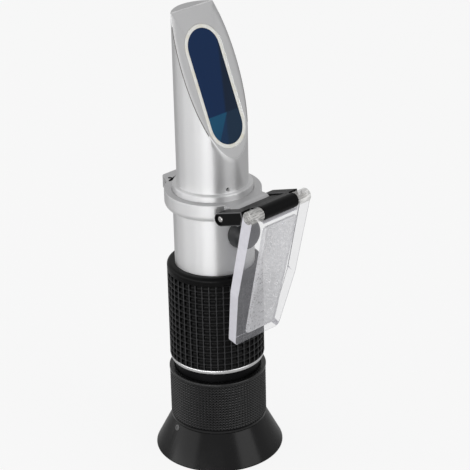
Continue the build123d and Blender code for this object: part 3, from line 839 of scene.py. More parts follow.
@dataclass(frozen=True)
class AcrylicFace:
    """Acrylic seen through one kind of face: a veil of a colour over what lies behind.

    A share inside clears the veil where the face is seen from within, at a slant that keeps light in the
    acrylic. Stipple darkens the low spots of its fine relief as painted shade in its hollows, specks open its
    veil, and a share through bends light as solid acrylic does.
    """

    name: str
    colour: Colour
    veil: float
    roughness: float
    stipple: float = 0.0
    grain: Point = (3.0, 3.0, 3.0)
    relief: float = 0.0
    inside: float = 0.0
    specks: float = 0.0
    through: float = 0.0

    def material(self) -> bpy.types.Material:
        """Makes the material.

        Returns:
            The material.
        """
        shader = Shader(self.name)
        fine = shader.noise(shader.spot(self.grain), 1.0, 4.0, 0.65)
        broad = shader.noise(shader.spot(), 0.16, 2.0)
        veil = (broad - 0.5) * 0.06 + self.veil
        if self.specks:
            veil = veil - fine.step(0.5, 0.66) * self.specks
        if self.inside:
            kept_in = shader.node("ShaderNodeFresnel", {}, {"IOR": ACRYLIC_IOR})
            veil = veil * (1 - kept_in * self.inside)
        dark = tuple(each * (1 - self.stipple) for each in self.colour)
        speck = fine.step(0.35, 0.62) * (0.4 + 0.6 * broad.step(0.3, 0.6)) if self.stipple else broad
        return shader.finish(
            Base_Color=shader.blend(speck, dark, self.colour),
            Roughness=(fine - 0.5) * 0.1 + self.roughness,
            IOR=ACRYLIC_IOR,
            Transmission_Weight=self.through,
            Alpha=veil,
            Normal=shader.bump(fine, self.relief),
        )


def shade_smooth(piece: bpy.types.Object, weighted: bool) -> None:
    """Shades a piece smoothly, with sharp edges kept.

    Args:
        piece: The piece, whose points are merged.
        weighted: Whether wide flat faces keep their own normal beside rounded edges.
    """
    mesh = piece.data
    mesh.polygons.foreach_set("use_smooth", np.ones(len(mesh.polygons), bool))
    mesh.set_sharp_from_angle(angle=SHARP_ANGLE)
    if weighted:
        normals = piece.modifiers.new("flat_faces_first", "WEIGHTED_NORMAL")
        normals.keep_sharp = True


class PackedModel:
    """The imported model: its nodes' boxes in millimetres, its joints, and each node's body and finish."""

    def __init__(self, frame: dict) -> None:
        """Reads the loaded frame.
        """
        self.nodes: dict[str, bpy.types.Object] = frame["nodes"]
        self.joints = {joint["name"]: joint for joint in frame["joints"]}
        self.slots = {part["node"]: part["material_slot"] for part in frame["record"]["subparts"]}
        self.replaced: set[str] = set()

    def low(self, node: str) -> np.ndarray:
        """Lowest corner of a node."""
        return np.array(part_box(node)[0]) / METRES

    def high(self, node: str) -> np.ndarray:
        """Highest corner of a node."""
        return np.array(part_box(node)[1]) / METRES

    def box(self, node: str) -> tuple[np.ndarray, np.ndarray]:
        """Lowest and highest corner of a node."""
        return self.low(node), self.high(node)

    @property
    def on_barrel(self) -> float:
        """Bore of a ring that is pushed on the barrel."""
        return self.high("barrel")[0] + PRESS_GAP

    def section(self, node: str, bore: float) -> list[tuple[float, float]]:
        """Corners, as radius and height, of a ring that fills a node's box outside its bore."""
        low, high = self.box(node)
        return [(bore, low[2]), (high[0], low[2]), (high[0], high[2]), (bore, high[2])]

    def joint_at(self, name: str) -> np.ndarray:
        """Place of a joint's axis."""
        return np.array(self.joints[name]["pos_m"]) / METRES

    def show(
        self, piece: bpy.types.Object, node: str, *materials: bpy.types.Material, weighted: bool = False
    ) -> None:
        """Puts a finished piece in a node's stead.

        Args:
            piece: The piece, which has no material yet.
            node: The node that it replaces, whose body it rides on.
            materials: Its materials, by face index.
            weighted: As in shade_smooth.
        """
        for material in materials:
            piece.data.materials.append(material)
        shade_smooth(piece, weighted)
        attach(piece, self.nodes[node]["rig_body"])
        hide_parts(node)
        self.replaced.add(node)
        LOG.info("%s stands for %s: %d faces", piece.name, node, len(piece.data.polygons))

    def keep(self, node: str, material: bpy.types.Material) -> None:
        """Leaves a node as it is and gives it a finish, smooth where its faces turn gently.

        Args:
            node: The node.
            material: Its finish.
        """
        kept = self.nodes[node]
        kept.data.materials.clear()
        kept.data.materials.append(material)
        kept.data.polygons.foreach_set("use_smooth", np.ones(len(kept.data.polygons), bool))
        weld = kept.modifiers.new("merged_corners", "WELD")
        weld.merge_threshold = 1e-6
        split = kept.modifiers.new("sharp_edges", "EDGE_SPLIT")
        split.split_angle = SHARP_ANGLE
        LOG.info("%s keeps its own shape", node)


@dataclass
class Eyepiece:
    """Soft eyecup, knurled focus ring, recessed neck and the lens that the eye sees.

    The cup's rounds go with its corners, from the mouth's lower edge outwards. The knurl's flank is where a
    tooth starts to rise and where it is full, as shares of its period. Samples are the points in a period.
    """

    model: PackedModel
    cup_wall: float = 1.6
    cup_land: float = 1.2
    cup_floor: float = 1.8
    cup_rim: float = 0.4
    cup_rounds: tuple[float, ...] = (0.35, 0.2, 0.3, 0.3, 0.0, 0.0, 0.0, 0.0, 0.7, 0.7, 1.2, 0.2)
    spigot_wall: float = 0.9
    eye_opening: float = 8.6
    mark_azimuth: float = -101.8
    mark_height: float = 9.95
    mark_radius: float = 1.0
    mark_rise: float = 0.16
    mark_root: float = 0.4
    mark_round: float = 0.05
    ring_radius: float = 15.85
    ring_wall: float = 1.7
    ring_foot: float = 1.1
    ring_foot_stand: float = 0.1
    ring_foot_seam: float = 0.15
    ring_edge: float = 0.2
    ring_hub_reach: float = 1.9
    ring_lip_height: float = 1.0
    ring_lip_round: float = 0.45
    ring_lip_foot: float = 0.1
    ring_web_rise: float = 3.4
    ring_web: float = 1.6
    knurl_columns: int = 90
    knurl_rows: int = 17
    knurl_depth: float = 0.4
    knurl_flank: tuple[float, float] = (0.02, 0.38)
    samples: int = 6
    neck_edge: float = 0.15
    lens_rim: float = 0.8
    lens_sag: float = 1.3
    rubber: Moulded = Moulded("eyecup_rubber", (0.005, 0.005, 0.0053), 0.2, 0.25, 3.0, 0.002)
    mark_rubber: Moulded = Moulded("eyecup_mark_rubber", (0.11, 0.11, 0.112), 0.3, 0.4)
    ring_wear: WearAndHighlight = WearAndHighlight(15.85, 16.1, (0.016, 0.016, 0.0165))
    plastic: Moulded = Moulded("ring_plastic", (0.005, 0.005, 0.0053), 0.2, 0.45, 6.0, 0.002, ring_wear)
    anodised: Metal = Metal("neck_anodised", (0.012, 0.012, 0.013), 0.4, Grain.TURNED)
    glass: Lens = Lens("eye_lens_glass", (0.93, 0.97, 0.95))

    def eyecup(self) -> None:
        """Turned cone whose rim rolls over, with a floor round the eye opening and a spigot in the ring."""
        low, high = self.model.box("eyecup")
        top = self.model.low("focus_ring")[2]
        spigot = self.ring_radius - self.ring_wall
        mouth = high[0] - self.cup_wall
        floor = top - self.cup_floor
        rim = low[2] + self.cup_rim
        slope = (high[0] - self.ring_radius) / (top - rim)
        corners = [
            (mouth, low[2]),
            (high[0], low[2]),
            (high[0], rim),
            (self.ring_radius, top),
            (spigot, top),
            (spigot, high[2]),
            (spigot - self.spigot_wall, high[2]),
            (spigot - self.spigot_wall, top),
            (self.eye_opening, top),
            (self.eye_opening, floor),
            (mouth - slope * (floor - self.cup_land), floor),
            (mouth, self.cup_land),
        ]
        cup = turned("eyecup_moulding", rounded(corners, self.cup_rounds), circle_angles())
        mark = self.mark_place(self.ring_radius + slope * (top - self.mark_height), math.atan(slope))
        outline = disc_outline(self.mark_radius, count=32)
        disc = extruded("moulding_mark", outline, -self.mark_root, self.mark_rise, self.mark_round, mark, 2)
        inner = disc_outline(self.mark_radius / 2, count=24)
        dimple = extruded("mark_dimple", inner, 0.0, OVERCUT, 0.0, mark)
        combined(cup, Cut.JOIN, [disc])
        combined(cup, Cut.TAKE, [dimple])
        self.model.show(cup, "eyecup", self.rubber.material(), self.mark_rubber.material())
        middle, _ = face_places(cup, mark)
        paint(cup, np.linalg.norm(middle, axis=1) < self.mark_radius)

    def mark_place(self, radius: float, lean: float) -> Place:
        """Where the moulding's mark lies on the cone, with its third coordinate square to the cone.

        Args:
            radius: The cone's radius at the mark's height.
            lean: The angle of the cone's side from upright.

        Returns:
            The place.
        """
        turn = math.radians(self.mark_azimuth)
        outward = np.array([math.sin(turn), -math.cos(turn), 0.0])
        return Place(
            origin=tuple(outward * radius + (0.0, 0.0, self.mark_height)),
            first=(math.cos(turn), math.sin(turn), 0.0),
            second=tuple(np.array([0.0, 0.0, math.cos(lean)]) - outward * math.sin(lean)),
            third=tuple(np.array([0.0, 0.0, math.sin(lean)]) + outward * math.cos(lean)),
        )

    def focus_ring(self) -> None:
        """Turned ring whose radius grows by rows of blunt pyramids.

        A pyramid's height is the lesser of a tooth wave round the ring and one along it.
        """
        low, high = self.model.box("focus_ring")
        bore = self.model.high("neck_sleeve")[0] + RUNNING_GAP
        spigot = self.ring_radius - self.ring_wall
        hub = self.model.high("tube_circlip")[0] - self.ring_hub_reach
        web_bottom = low[2] + self.ring_web_rise
        knurl_bottom = low[2] + self.ring_foot
        knurl_top = high[2] - self.ring_lip_height
        count = self.knurl_rows * self.samples
        share = np.arange(count + 1) / self.samples
        height = knurl_bottom + (knurl_top - knurl_bottom) * share / self.knurl_rows
        lip_corners = [(bore, knurl_top), (high[0], knurl_top), (high[0], high[2]), (bore, high[2])]
        lip = rounded(lip_corners, [0.0, self.ring_lip_foot, self.ring_lip_round, self.ring_edge])[1:]
        inner = [(bore, web_bottom + self.ring_web), (hub, web_bottom + self.ring_web), (hub, web_bottom)]
        inner += [(spigot, web_bottom), (spigot, low[2])]
        foot_radius = self.ring_radius + self.ring_foot_stand
        foot = [
            (foot_radius - self.ring_edge, low[2]),
            (foot_radius, low[2] + self.ring_edge),
            (foot_radius, knurl_bottom - self.ring_foot_seam),
        ]
        wall = np.column_stack([np.full(count + 1, self.ring_radius), height])
        profile = np.concatenate([foot, wall, lip, inner])
        angles = circle_angles(self.knurl_columns * self.samples)
        round_share = np.arange(len(angles)) / self.samples
        tooth = np.minimum(wave(share, *self.knurl_flank)[:, None], wave(round_share, *self.knurl_flank))
        relief = np.zeros((len(profile), len(angles)))
        relief[len(foot) : len(foot) + count + 1] = (tooth - 0.5) * self.knurl_depth
        ring = turned("focus_ring_knurled", profile, angles, relief)
        self.model.show(ring, "focus_ring", self.plastic.material())

    def neck(self) -> None:
        """Plain black sleeve in the gap over the focus ring."""
        corners = self.model.section("neck_sleeve", self.model.on_barrel)
        neck = turned("neck_turned", rounded(corners, self.neck_edge), circle_angles(128))
        self.model.show(neck, "neck_sleeve", self.anodised.material())

    def eye_lens(self) -> None:
        """Lens whose two faces are parts of spheres: their height falls with the square of the radius."""
        low, high = self.model.box("eye_lens")
        face = high[0] - self.lens_rim
        radius = np.linspace(0, face, 14)
        drop = self.lens_sag * (1 - (radius / face) ** 2)
        below = np.column_stack([radius, low[2] + self.lens_sag - drop])
        above = np.column_stack([radius, high[2] - self.lens_sag + drop])[::-1]
        rim = [(high[0], low[2] + self.lens_sag), (high[0], high[2] - self.lens_sag)]
        lens = turned("eye_lens_polished", np.concatenate([below, rim, above]), circle_angles(96), loop=False)
        self.model.show(lens, "eye_lens", self.glass.material())

    def build(self) -> None:
        """Makes the four pieces."""
        self.eyecup()
        self.focus_ring()
        self.neck()
        self.eye_lens()


@dataclass
class Housing:
    """Barrel, trim ring, knurled grip and the cap over the calibration screw.

    A row of the grip is given by its points: how far up the row they are and how high they stand, as shares
    of its height and of the grip's depth. Columns are counted round the grip, each with a rib in its middle.
    """

    model: PackedModel
    barrel_wall: float = 1.46
    barrel_edge: float = 0.2
    trim_round: float = 0.55
    trim_edge: float = 0.1
    grip_band: float = 2.59
    grip_columns: int = 43
    grip_column_shift: float = 0.6
    grip_rows: int = 14
    grip_depth: float = 0.7
    grip_flank: float = 0.7
    grip_lip_round: float = 1.2
    grip_edge: float = 0.2
    grip_foot_samples: int = 2
    rib_flank: tuple[float, float] = (0.37, 0.44)
    bush_hole: float = 3.14
    cap_radius: float = 5.4
    cap_wall: float = 1.25
    cap_skirt: float = 1.7
    cap_crown: float = 3.6
    cap_cavity: float = 15.96
    cap_seat_gap: float = 0.12
    aluminium: Metal = Metal("barrel_aluminium", (0.80, 0.80, 0.805), 0.42, Grain.TURNED, 0.05, 0.003, 0.9)
    bright: Metal = Metal("trim_aluminium", (0.82, 0.82, 0.825), 0.28, Grain.TURNED, 0.03, 0.002)
    # The grip's rib crests are painted paler: wear, and a painted highlight along each rib
    grip_wear_and_highlight: WearAndHighlight = WearAndHighlight(15.6, 15.72, (0.056, 0.056, 0.058), 65.4)
    rubber: Moulded = Moulded("grip_rubber", (0.002, 0.002, 0.0022), 0.34, 0.12, 4.0, 0.006, grip_wear_and_highlight)
    cap_rubber: Moulded = Moulded("cap_rubber", (0.022, 0.023, 0.025), 0.42, 0.35, 3.0, 0.004)
    row_shares: tuple[float, ...] = (0.0, 0.08, 0.22, 0.36, 0.55, 0.74, 0.84, 0.93)
    row_heights: tuple[float, ...] = (0.9, 0.9, 0.45, 0.1, 0.0, 0.0, 0.4, 0.9)
    column_samples: tuple[float, ...] = (0.0, 0.18, 0.37, 0.44, 0.5, 0.56, 0.63, 0.82)

    def barrel(self) -> None:
        """Plain tube with the hole of the calibration bush."""
        radius = self.model.high("barrel")[0]
        bore = radius - self.barrel_wall
        outline = rounded(self.model.section("barrel", bore), self.barrel_edge)
        tube = turned("barrel_turned", outline, circle_angles())
        place = Place.facing_front(self.model.joint_at("calibration_turn")[2])
        reach = (bore - 4 * OVERCUT, radius + 2 * OVERCUT)
        hole = extruded("hole_of_bush", disc_outline(self.bush_hole), *reach, 0.0, place)
        self.model.show(combined(tube, Cut.TAKE, [hole]), "barrel", self.aluminium.material())

    def trim_ring(self) -> None:
        """Narrow ring with a rounded outer side."""
        corners = self.model.section("trim_ring", self.model.on_barrel)
        outline = rounded(corners, [self.trim_edge, self.trim_round, self.trim_round, self.trim_edge])
        ring = turned("trim_ring_turned", outline, circle_angles())
        self.model.show(ring, "trim_ring", self.bright.material())

    def grip(self) -> None:
        """Sleeve with rows of pits over a whole foot.

        Its radius grows by the greater of a thin rib up each column and a row's height, which falls inwards
        above each crest and comes out steeply under the next one.
        """
        low, high = self.model.box("grip_sleeve")
        bore = self.model.on_barrel
        core = high[0] - self.grip_depth
        band_bottom = high[2] - self.grip_band
        share = (np.arange(self.grip_rows)[:, None] + np.array(self.row_shares)).ravel()
        share = np.append(share, self.grip_rows)
        height = low[2] + (band_bottom - low[2]) * share / self.grip_rows
        turn = (np.arange(self.grip_columns)[:, None] + np.array(self.column_samples)).ravel()
        rows = np.append(np.tile(self.row_heights, self.grip_rows), 1.0)[:, None]
        rows[: self.grip_foot_samples] = 1.0
        wall = np.column_stack([np.full(len(height), core), height])
        band_corners = [
            (bore, band_bottom),
            (core, band_bottom),
            (high[0], band_bottom + self.grip_flank),
            (high[0], high[2]),
            (bore, high[2]),
        ]
        band = rounded(band_corners, [0.0, 0.0, self.grip_edge, self.grip_lip_round, self.grip_edge])[2:]
        profile = np.concatenate([[(bore, low[2])], wall, band])
        relief = np.zeros((len(profile), len(turn)))
        relief[1 : len(wall) + 1] = np.maximum(rows, wave(turn, *self.rib_flank)) * self.grip_depth
        angles = (turn + self.grip_column_shift) * 2 * math.pi / self.grip_columns
        sleeve = turned("grip_sleeve_knurled", profile, angles, relief)
        self.model.show(sleeve, "grip_sleeve", self.rubber.material())

    def cap(self) -> None:
        """Dome over a skirt that follows the barrel.

        A point lies at its radius and angle round the cap's axis. The dome is a quarter ellipse, and the rim
        stands as far forward as the barrel does at that point's distance from the middle plane.
        """
        barrel = self.model.high("barrel")[0] + self.cap_seat_gap
        height = self.model.joint_at("calibration_turn")[2]
        front = self.model.high("barrel")[0] + self.cap_skirt
        turn = circle_angles(96)
        rise = np.linspace(math.pi / 2, 0, 13)[:, None]
        flat = np.ones(len(turn))
        dome_radius = self.cap_radius * np.cos(rise) * flat
        dome_front = front + self.cap_crown * np.sin(rise) * flat
        inner = self.cap_radius - self.cap_wall
        seat_radius = np.array([[self.cap_radius], [inner]]) * flat
        seat_front = np.sqrt(barrel**2 - (seat_radius * np.cos(turn)) ** 2)
        hollow_radius = np.array([[inner], [0.0]]) * flat
        hollow_front = np.full((2, 1), self.cap_cavity) * flat
        radius = np.concatenate([dome_radius, seat_radius, hollow_radius])
        forward = np.concatenate([dome_front, seat_front, hollow_front])
        local = np.stack([radius * np.cos(turn), radius * np.sin(turn), forward], axis=-1)
        cap = mesh_piece("calibration_cap_moulding", Place.facing_front(height).points(local))
        self.model.show(cap, "calibration_cap", self.cap_rubber.material())

    def build(self) -> None:
        """Makes the four pieces."""
        self.barrel()
        self.trim_ring()
        self.grip()
        self.cap()


@dataclass
class Head:
    """Collar with its two lugs, the slanted head, and the prism in its bed of sealant.

    The slant is the face's lean from upright, in degrees. A facing is the least cosine between the normal of
    a face of the mesh and the side to which it belongs.
    """

    model: PackedModel
    slant: float = 22.4
    radius: float = 11.56
    front_rise: float = 10.84
    front_columns: int = 361
    back_columns: int = 162
    edge: float = 0.25
    # Heights up the face between which the edge round the slant is painted dark, as shade
    edge_shade_heights: tuple[float, float] = (9.0, 42.0)
    face_facing: float = 0.999
    top_facing: float = 0.99
    top_reach: float = 0.1
    face_skin: float = 0.001
    flange_rise: float = 2.06
    flange_round: float = 0.55
    base_round: float = 0.18
    bore: float = 5.4
    bore_rise: float = 5.0
    prism_width: float = 12.82
    prism_length: float = 37.45
    prism_start: float = 4.98
    prism_depth: float = 4.4
    prism_bevel: float = 0.12
    seal_width: float = 1.3
    seal_depth: float = 1.3
    seal_recess: float = 0.08
    seal_lip: float = 0.1
    bead_reach: tuple[float, float] = (0.04, 0.97)
    groove_depth: float = 1.2
    screw_angle: float = 19.2
    screw_hole: float = 0.69
    screw_hole_depth: float = 3.0
    collar_round: float = 2.3
    collar_edge: float = 0.3
    collar_seam: float = 0.4
    collar_foot: float = 0.1
    lug_half_width: float = 8.1
    lug_radius: float = 2.75
    lug_edge: float = 0.2
    lug_sink: float = 0.3
    ledge_front: float = 3.445
    ledge_rise: float = 0.737
    rear_root: tuple[float, float] = (7.2, 13.4)
    rear_end: tuple[float, float] = (4.3, 19.4)
    rear_height: float = 4.6
    rear_round: float = 0.45
    rear_corners: tuple[float, float] = (0.3, 0.9)
    cord_hole: float = 0.7
    cord_hole_at: tuple[float, float] = (4.5, 15.4)
    side_hole: float = 0.55
    side_hole_drop: float = 2.0
    lug_clear: float = 0.05
    lug_facing: float = 0.9
    aluminium: Metal = Metal("head_aluminium", (0.80, 0.80, 0.805), 0.42, Grain.TURNED, 0.05, 0.003, 0.9)
    blasted: Metal = Metal("face_aluminium", (0.55, 0.55, 0.555), 0.5, Grain.BLASTED, 0.04, 0.004)
    # Dark metal painted on the edge round the slant, as shade
    edge_painted_shade: Metal = Metal("edge_painted_shade_aluminium", (0.16, 0.155, 0.15), 0.5, Grain.BLASTED)

    @property
    def flange_top(self) -> float:
        """Height of the flange's top."""
        return self.model.high("collar")[2] + self.flange_rise

    @property
    def face(self) -> Place:
        """The prism face, from its lowest point, with the second coordinate up the slant.

        Returns:
            The place.
        """
        lean = math.radians(self.slant)
        return Place(
            origin=(0.0, -self.radius, self.flange_top + self.front_rise),
            first=(1.0, 0.0, 0.0),
            second=(0.0, math.sin(lean), math.cos(lean)),
            third=(0.0, -math.cos(lean), math.sin(lean)),
        )

    @property
    def window_centre(self) -> float:
        """Height of the prism's centre up the slant."""
        return self.prism_start + self.prism_length / 2

    def slot_ring(self, direction: np.ndarray, grow: float, depth: float) -> np.ndarray:
        """Ring on the prism's slot where rays from its centre leave it, below the face by a depth.

        A ray leaves through a straight side where it gets there before the side's end, and else through the
        end's half circle.

        Args:
            direction: Each ray's unit direction on the face.
            grow: How much wider all round than the prism the slot is.
            depth: How far below the face the ring lies.

        Returns:
            The points in the part's frame.
        """
        radius = self.prism_width / 2 + grow
        straight = (self.prism_length - self.prism_width) / 2
        across, along = np.abs(direction[:, 0]), direction[:, 1]
        side = radius / np.maximum(across, 1e-9)
        shift = np.sign(along) * straight
        to_end = along * shift
        end = to_end + np.sqrt(np.maximum(to_end**2 - straight**2 + radius**2, 0.0))
        reach = np.where(side * np.abs(along) <= straight, side, end)[:, None]
        flat = direction * reach + np.array([0.0, self.window_centre])
        return self.face.points(at_level(flat, -depth))

    def head(self) -> None:
        """One surface from the prism's pocket over the slant face and down the cylinder to the bore.

        Each column stands at an angle round the axis. In front, the cylinder ends at the slant plane, whose
        height grows with the distance back over the tangent of its lean. Behind, it ends at the flat top, and
        the column crosses that to the slant's upper edge.
        """
        lean = math.radians(self.slant)
        base = self.flange_top + self.front_rise
        top = self.model.high("prism_head")[2]
        back_reach = (top - base) * math.tan(lean) - self.radius
        corner = math.acos(-back_reach / self.radius)
        front = np.linspace(-corner, corner, self.front_columns)
        behind = np.linspace(corner, 2 * math.pi - corner, self.back_columns)[1:-1]
        angles = np.concatenate([front, behind])
        slanted = np.arange(len(angles)) < len(front)
        x, y = self.radius * np.sin(angles), -self.radius * np.cos(angles)
        y_edge = np.where(slanted, y, back_reach)
        outline = np.column_stack([x, (y_edge + self.radius) / math.sin(lean)])
        shrunk = inset(outline, self.edge)
        place = self.face
        rim = place.points(at_level(shrunk, 0.0))
        direction = unit(shrunk - np.array([0.0, self.window_centre]))
        pocket_depth = self.prism_depth + PRESS_GAP
        pocket = [
            np.broadcast_to(place.points(np.array([0.0, self.window_centre, -pocket_depth])), rim.shape),
            self.slot_ring(direction, PRESS_GAP, pocket_depth),
            self.slot_ring(direction, PRESS_GAP, self.seal_depth),
            self.slot_ring(direction, self.seal_width, self.seal_depth),
            self.slot_ring(direction, self.seal_width, self.seal_lip),
            self.slot_ring(direction, self.seal_width + self.seal_lip, 0.0),
        ]
        lip = pocket[-1]
        face = [lip + (rim - lip) * share for share in (0.34, 0.67, 1.0)]
        cut_height = np.where(slanted, base + (y + self.radius) / math.tan(lean), top)
        spin = np.column_stack([np.sin(angles), -np.cos(angles)])
        side_top = at_level(spin * self.radius, cut_height - self.edge)
        ridge = at_level(np.column_stack([x, np.full(len(x), back_reach + self.edge)]), top)
        shoulder = at_level(spin * (self.radius - self.edge), top)
        over = [np.where(slanted[:, None], side_top, ring) for ring in (ridge, shoulder, side_top)]
        foot = at_level(spin * self.radius, self.flange_top + self.base_round)
        side = [side_top + (foot - side_top) * share for share in np.linspace(0, 1, 9)[1:]]
        below = [at_level(spin * radius, height) for radius, height in self.foot_profile()]
        head = mesh_piece("prism_head_turned", np.array([*pocket, *face, *over, *side, *below]))
        finishes = (self.aluminium, self.blasted, self.edge_painted_shade)
        self.model.show(self.drilled(head), "prism_head", *(finish.material() for finish in finishes))
        self.mark_face(head)

    def foot_profile(self) -> np.ndarray:
        """Profile down from the cylinder: its root's fillet, the flange, the spigot and the bore.

        Returns:
            The radius and height of each point.
        """
        low = self.model.low("prism_head")[2]
        wide, _, seat = self.model.high("barrel")
        (_, _, groove_low), (spigot, _, groove_high) = self.model.box("head_seal")
        turn = np.linspace(0, math.pi / 2, 5)
        root = np.column_stack([1 - np.cos(turn), 1 - np.sin(turn)]) * self.base_round
        root += (self.radius, self.flange_top)
        rim = np.column_stack([np.sin(turn) - 1, np.cos(turn) - 1]) * self.flange_round
        rim += (wide, self.flange_top)
        rest = [
            (wide, seat),
            (spigot, seat),
            (spigot, groove_high),
            (spigot - self.groove_depth, groove_high),
            (spigot - self.groove_depth, groove_low),
            (spigot, groove_low),
            (spigot, low),
            (self.bore, low),
            (self.bore, self.flange_top + self.bore_rise),
            (0.0, self.flange_top + self.bore_rise),
        ]
        return np.concatenate([root[1:], rim, rest])

    def drilled(self, head: bpy.types.Object) -> bpy.types.Object:
        """Drills the hole of the grub screw.

        Args:
            head: The head.

        Returns:
            The head.
        """
        turn = math.radians(self.screw_angle)
        middle = float(sum(self.model.box("head_grub_screw"))[2] / 2)
        outward = (-math.sin(turn), -math.cos(turn), 0.0)
        place = Place((0.0, 0.0, middle), (math.cos(turn), -math.sin(turn), 0.0), (0.0, 0.0, 1.0), outward)
        reach = (self.radius - self.screw_hole_depth, self.radius + 2 * OVERCUT)
        hole = extruded("hole_of_screw", disc_outline(self.screw_hole, count=32), *reach, 0.0, place)
        return combined(head, Cut.TAKE, [hole])

    def mark_face(self, head: bpy.types.Object) -> None:
        """Gives the slant face and the flat top the blasted finish, and the edge round the slant painted
        shade, a dark line.

        Args:
            head: The head, in whose materials these come second and third.
        """
        centres, normals = face_places(head)
        on_face, facing = face_places(head, self.face)
        height = centres[:, 2] - self.face.origin[2]
        top = self.model.high("prism_head")[2] - self.top_reach
        flat_top = (normals[:, 2] > self.top_facing) & (centres[:, 2] > top)
        kind = np.where((facing[:, 2] > self.face_facing) | flat_top, 1, 0)
        at_edge = (on_face[:, 2] < -self.face_skin) & (on_face[:, 2] > -self.edge)
        at_edge &= np.hypot(centres[:, 0], centres[:, 1]) > self.radius - self.edge
        # Painted shade: a dark line on the rounded edge round the slant, between two heights
        kind[at_edge & (height > self.edge_shade_heights[0]) & (height < self.edge_shade_heights[1])] = 2
        paint(head, kind)

    def prism(self) -> None:
        """Slot-shaped glass, flush with the face, with a fine bevel round it."""
        place = self.face
        outline = slot_outline(self.prism_length, self.prism_width) + (0.0, self.window_centre)
        prism = extruded("measuring_prism_polished", outline, -self.prism_depth, 0.0, self.prism_bevel, place)
        glass = PrismGlass("prism_glass", place.origin, self.slant)
        self.model.show(prism, "measuring_prism", glass.material(), weighted=True)

    def sealant(self) -> None:
        """Bead round the prism.

        Each ring is the slot grown by some of the bead's width, and its height follows a flat arch.
        """
        share = np.linspace(*self.bead_reach, 8)
        arch = self.seal_recess * np.sin(math.pi * share) - self.seal_recess
        grow = [share[0], *share, share[-1]]
        level = [-self.seal_depth, *arch, -self.seal_depth]
        rings = []
        for wider, height in zip(2 * self.seal_width * np.array(grow), level):
            slot = slot_outline(self.prism_length + wider, self.prism_width + wider)
            rings.append(at_level(slot + (0.0, self.window_centre), height))
        bead = mesh_piece("prism_sealant_bead", self.face.points(np.array(rings)), loop=True)
        self.model.show(bead, "prism_sealant", Sealant("sealant_cream").material())

    def collar(self) -> None:
        """Turned ring, joined with the hinge's lug in front and the cord's drilled lug behind."""
        outer, _, high = self.model.high("collar")
        bore = self.model.on_barrel
        rounds = [self.collar_foot, self.collar_round, self.collar_edge, self.collar_seam]
        outline = rounded(self.model.section("collar", bore), rounds, 8)
        ring = turned("collar_turned", outline, circle_angles())
        pivot = self.model.joint_at("link_swing")
        inner = bore + pivot[1] + self.lug_sink
        nose = np.linspace(math.pi / 2, math.asin(self.ledge_rise / self.lug_radius), 12)
        nose_points = self.lug_radius * np.column_stack([np.cos(nose), np.sin(nose)])
        ledge = [(self.ledge_front, self.ledge_rise), (self.ledge_front, -self.lug_radius)]
        root = [(inner, -self.lug_radius), (inner, self.lug_radius)]
        lug_outline = np.concatenate([nose_points, ledge, root])
        side_view = Place.leaning(-pivot[1], pivot[2], 0.0)
        half = self.lug_half_width
        front_lug = extruded("front_lug", lug_outline, -half, half, self.lug_edge, side_view, 2)
        plan = Place(origin=(0.0, 0.0, high - self.rear_height))
        (root_x, root_y), (end_x, end_y) = self.rear_root, self.rear_end
        right = [(root_x, bore), (root_x, root_y), (end_x, end_y)]
        left = [(-x, y) for x, y in right]
        root_round, end_round = self.rear_corners
        rear_rounds = [0.0, 0.0, root_round, end_round, end_round, root_round]
        rear_outline = rounded([left[0], *right, *left[:0:-1]], rear_rounds)
        rear_lug = extruded("rear_lug", rear_outline, 0.0, self.rear_height, self.rear_round, plan)
        combined(ring, Cut.JOIN, [front_lug, rear_lug])
        hole_x, hole_y = self.cord_hole_at
        tools = []
        for side in (-1, 1):
            outline = disc_outline(self.cord_hole, (side * hole_x, hole_y), 32)
            reach = (-OVERCUT, self.rear_height + OVERCUT)
            tools.append(extruded(f"cord_hole_{side + 1}", outline, *reach, 0.0, plan))
            across = Place((0.0, hole_y, high - self.side_hole_drop), (0, 1, 0), (0, 0, 1), (side, 0, 0))
            outline = disc_outline(self.side_hole, count=32)
            reach = (hole_x, root_x + 3 * OVERCUT)
            tools.append(extruded(f"side_hole_{side + 1}", outline, *reach, 0.0, across))
        combined(ring, Cut.TAKE, tools)
        self.model.show(ring, "collar", self.aluminium.material(), self.blasted.material(), weighted=True)
        centres, normals = face_places(ring)
        on_lug = np.hypot(centres[:, 0], centres[:, 1]) > outer + self.lug_clear
        paint(ring, on_lug | (np.abs(normals[:, 2]) > self.lug_facing))

    def build(self) -> None:
        """Makes the four pieces."""
        self.head()
        self.prism()
        self.sealant()
        self.collar()


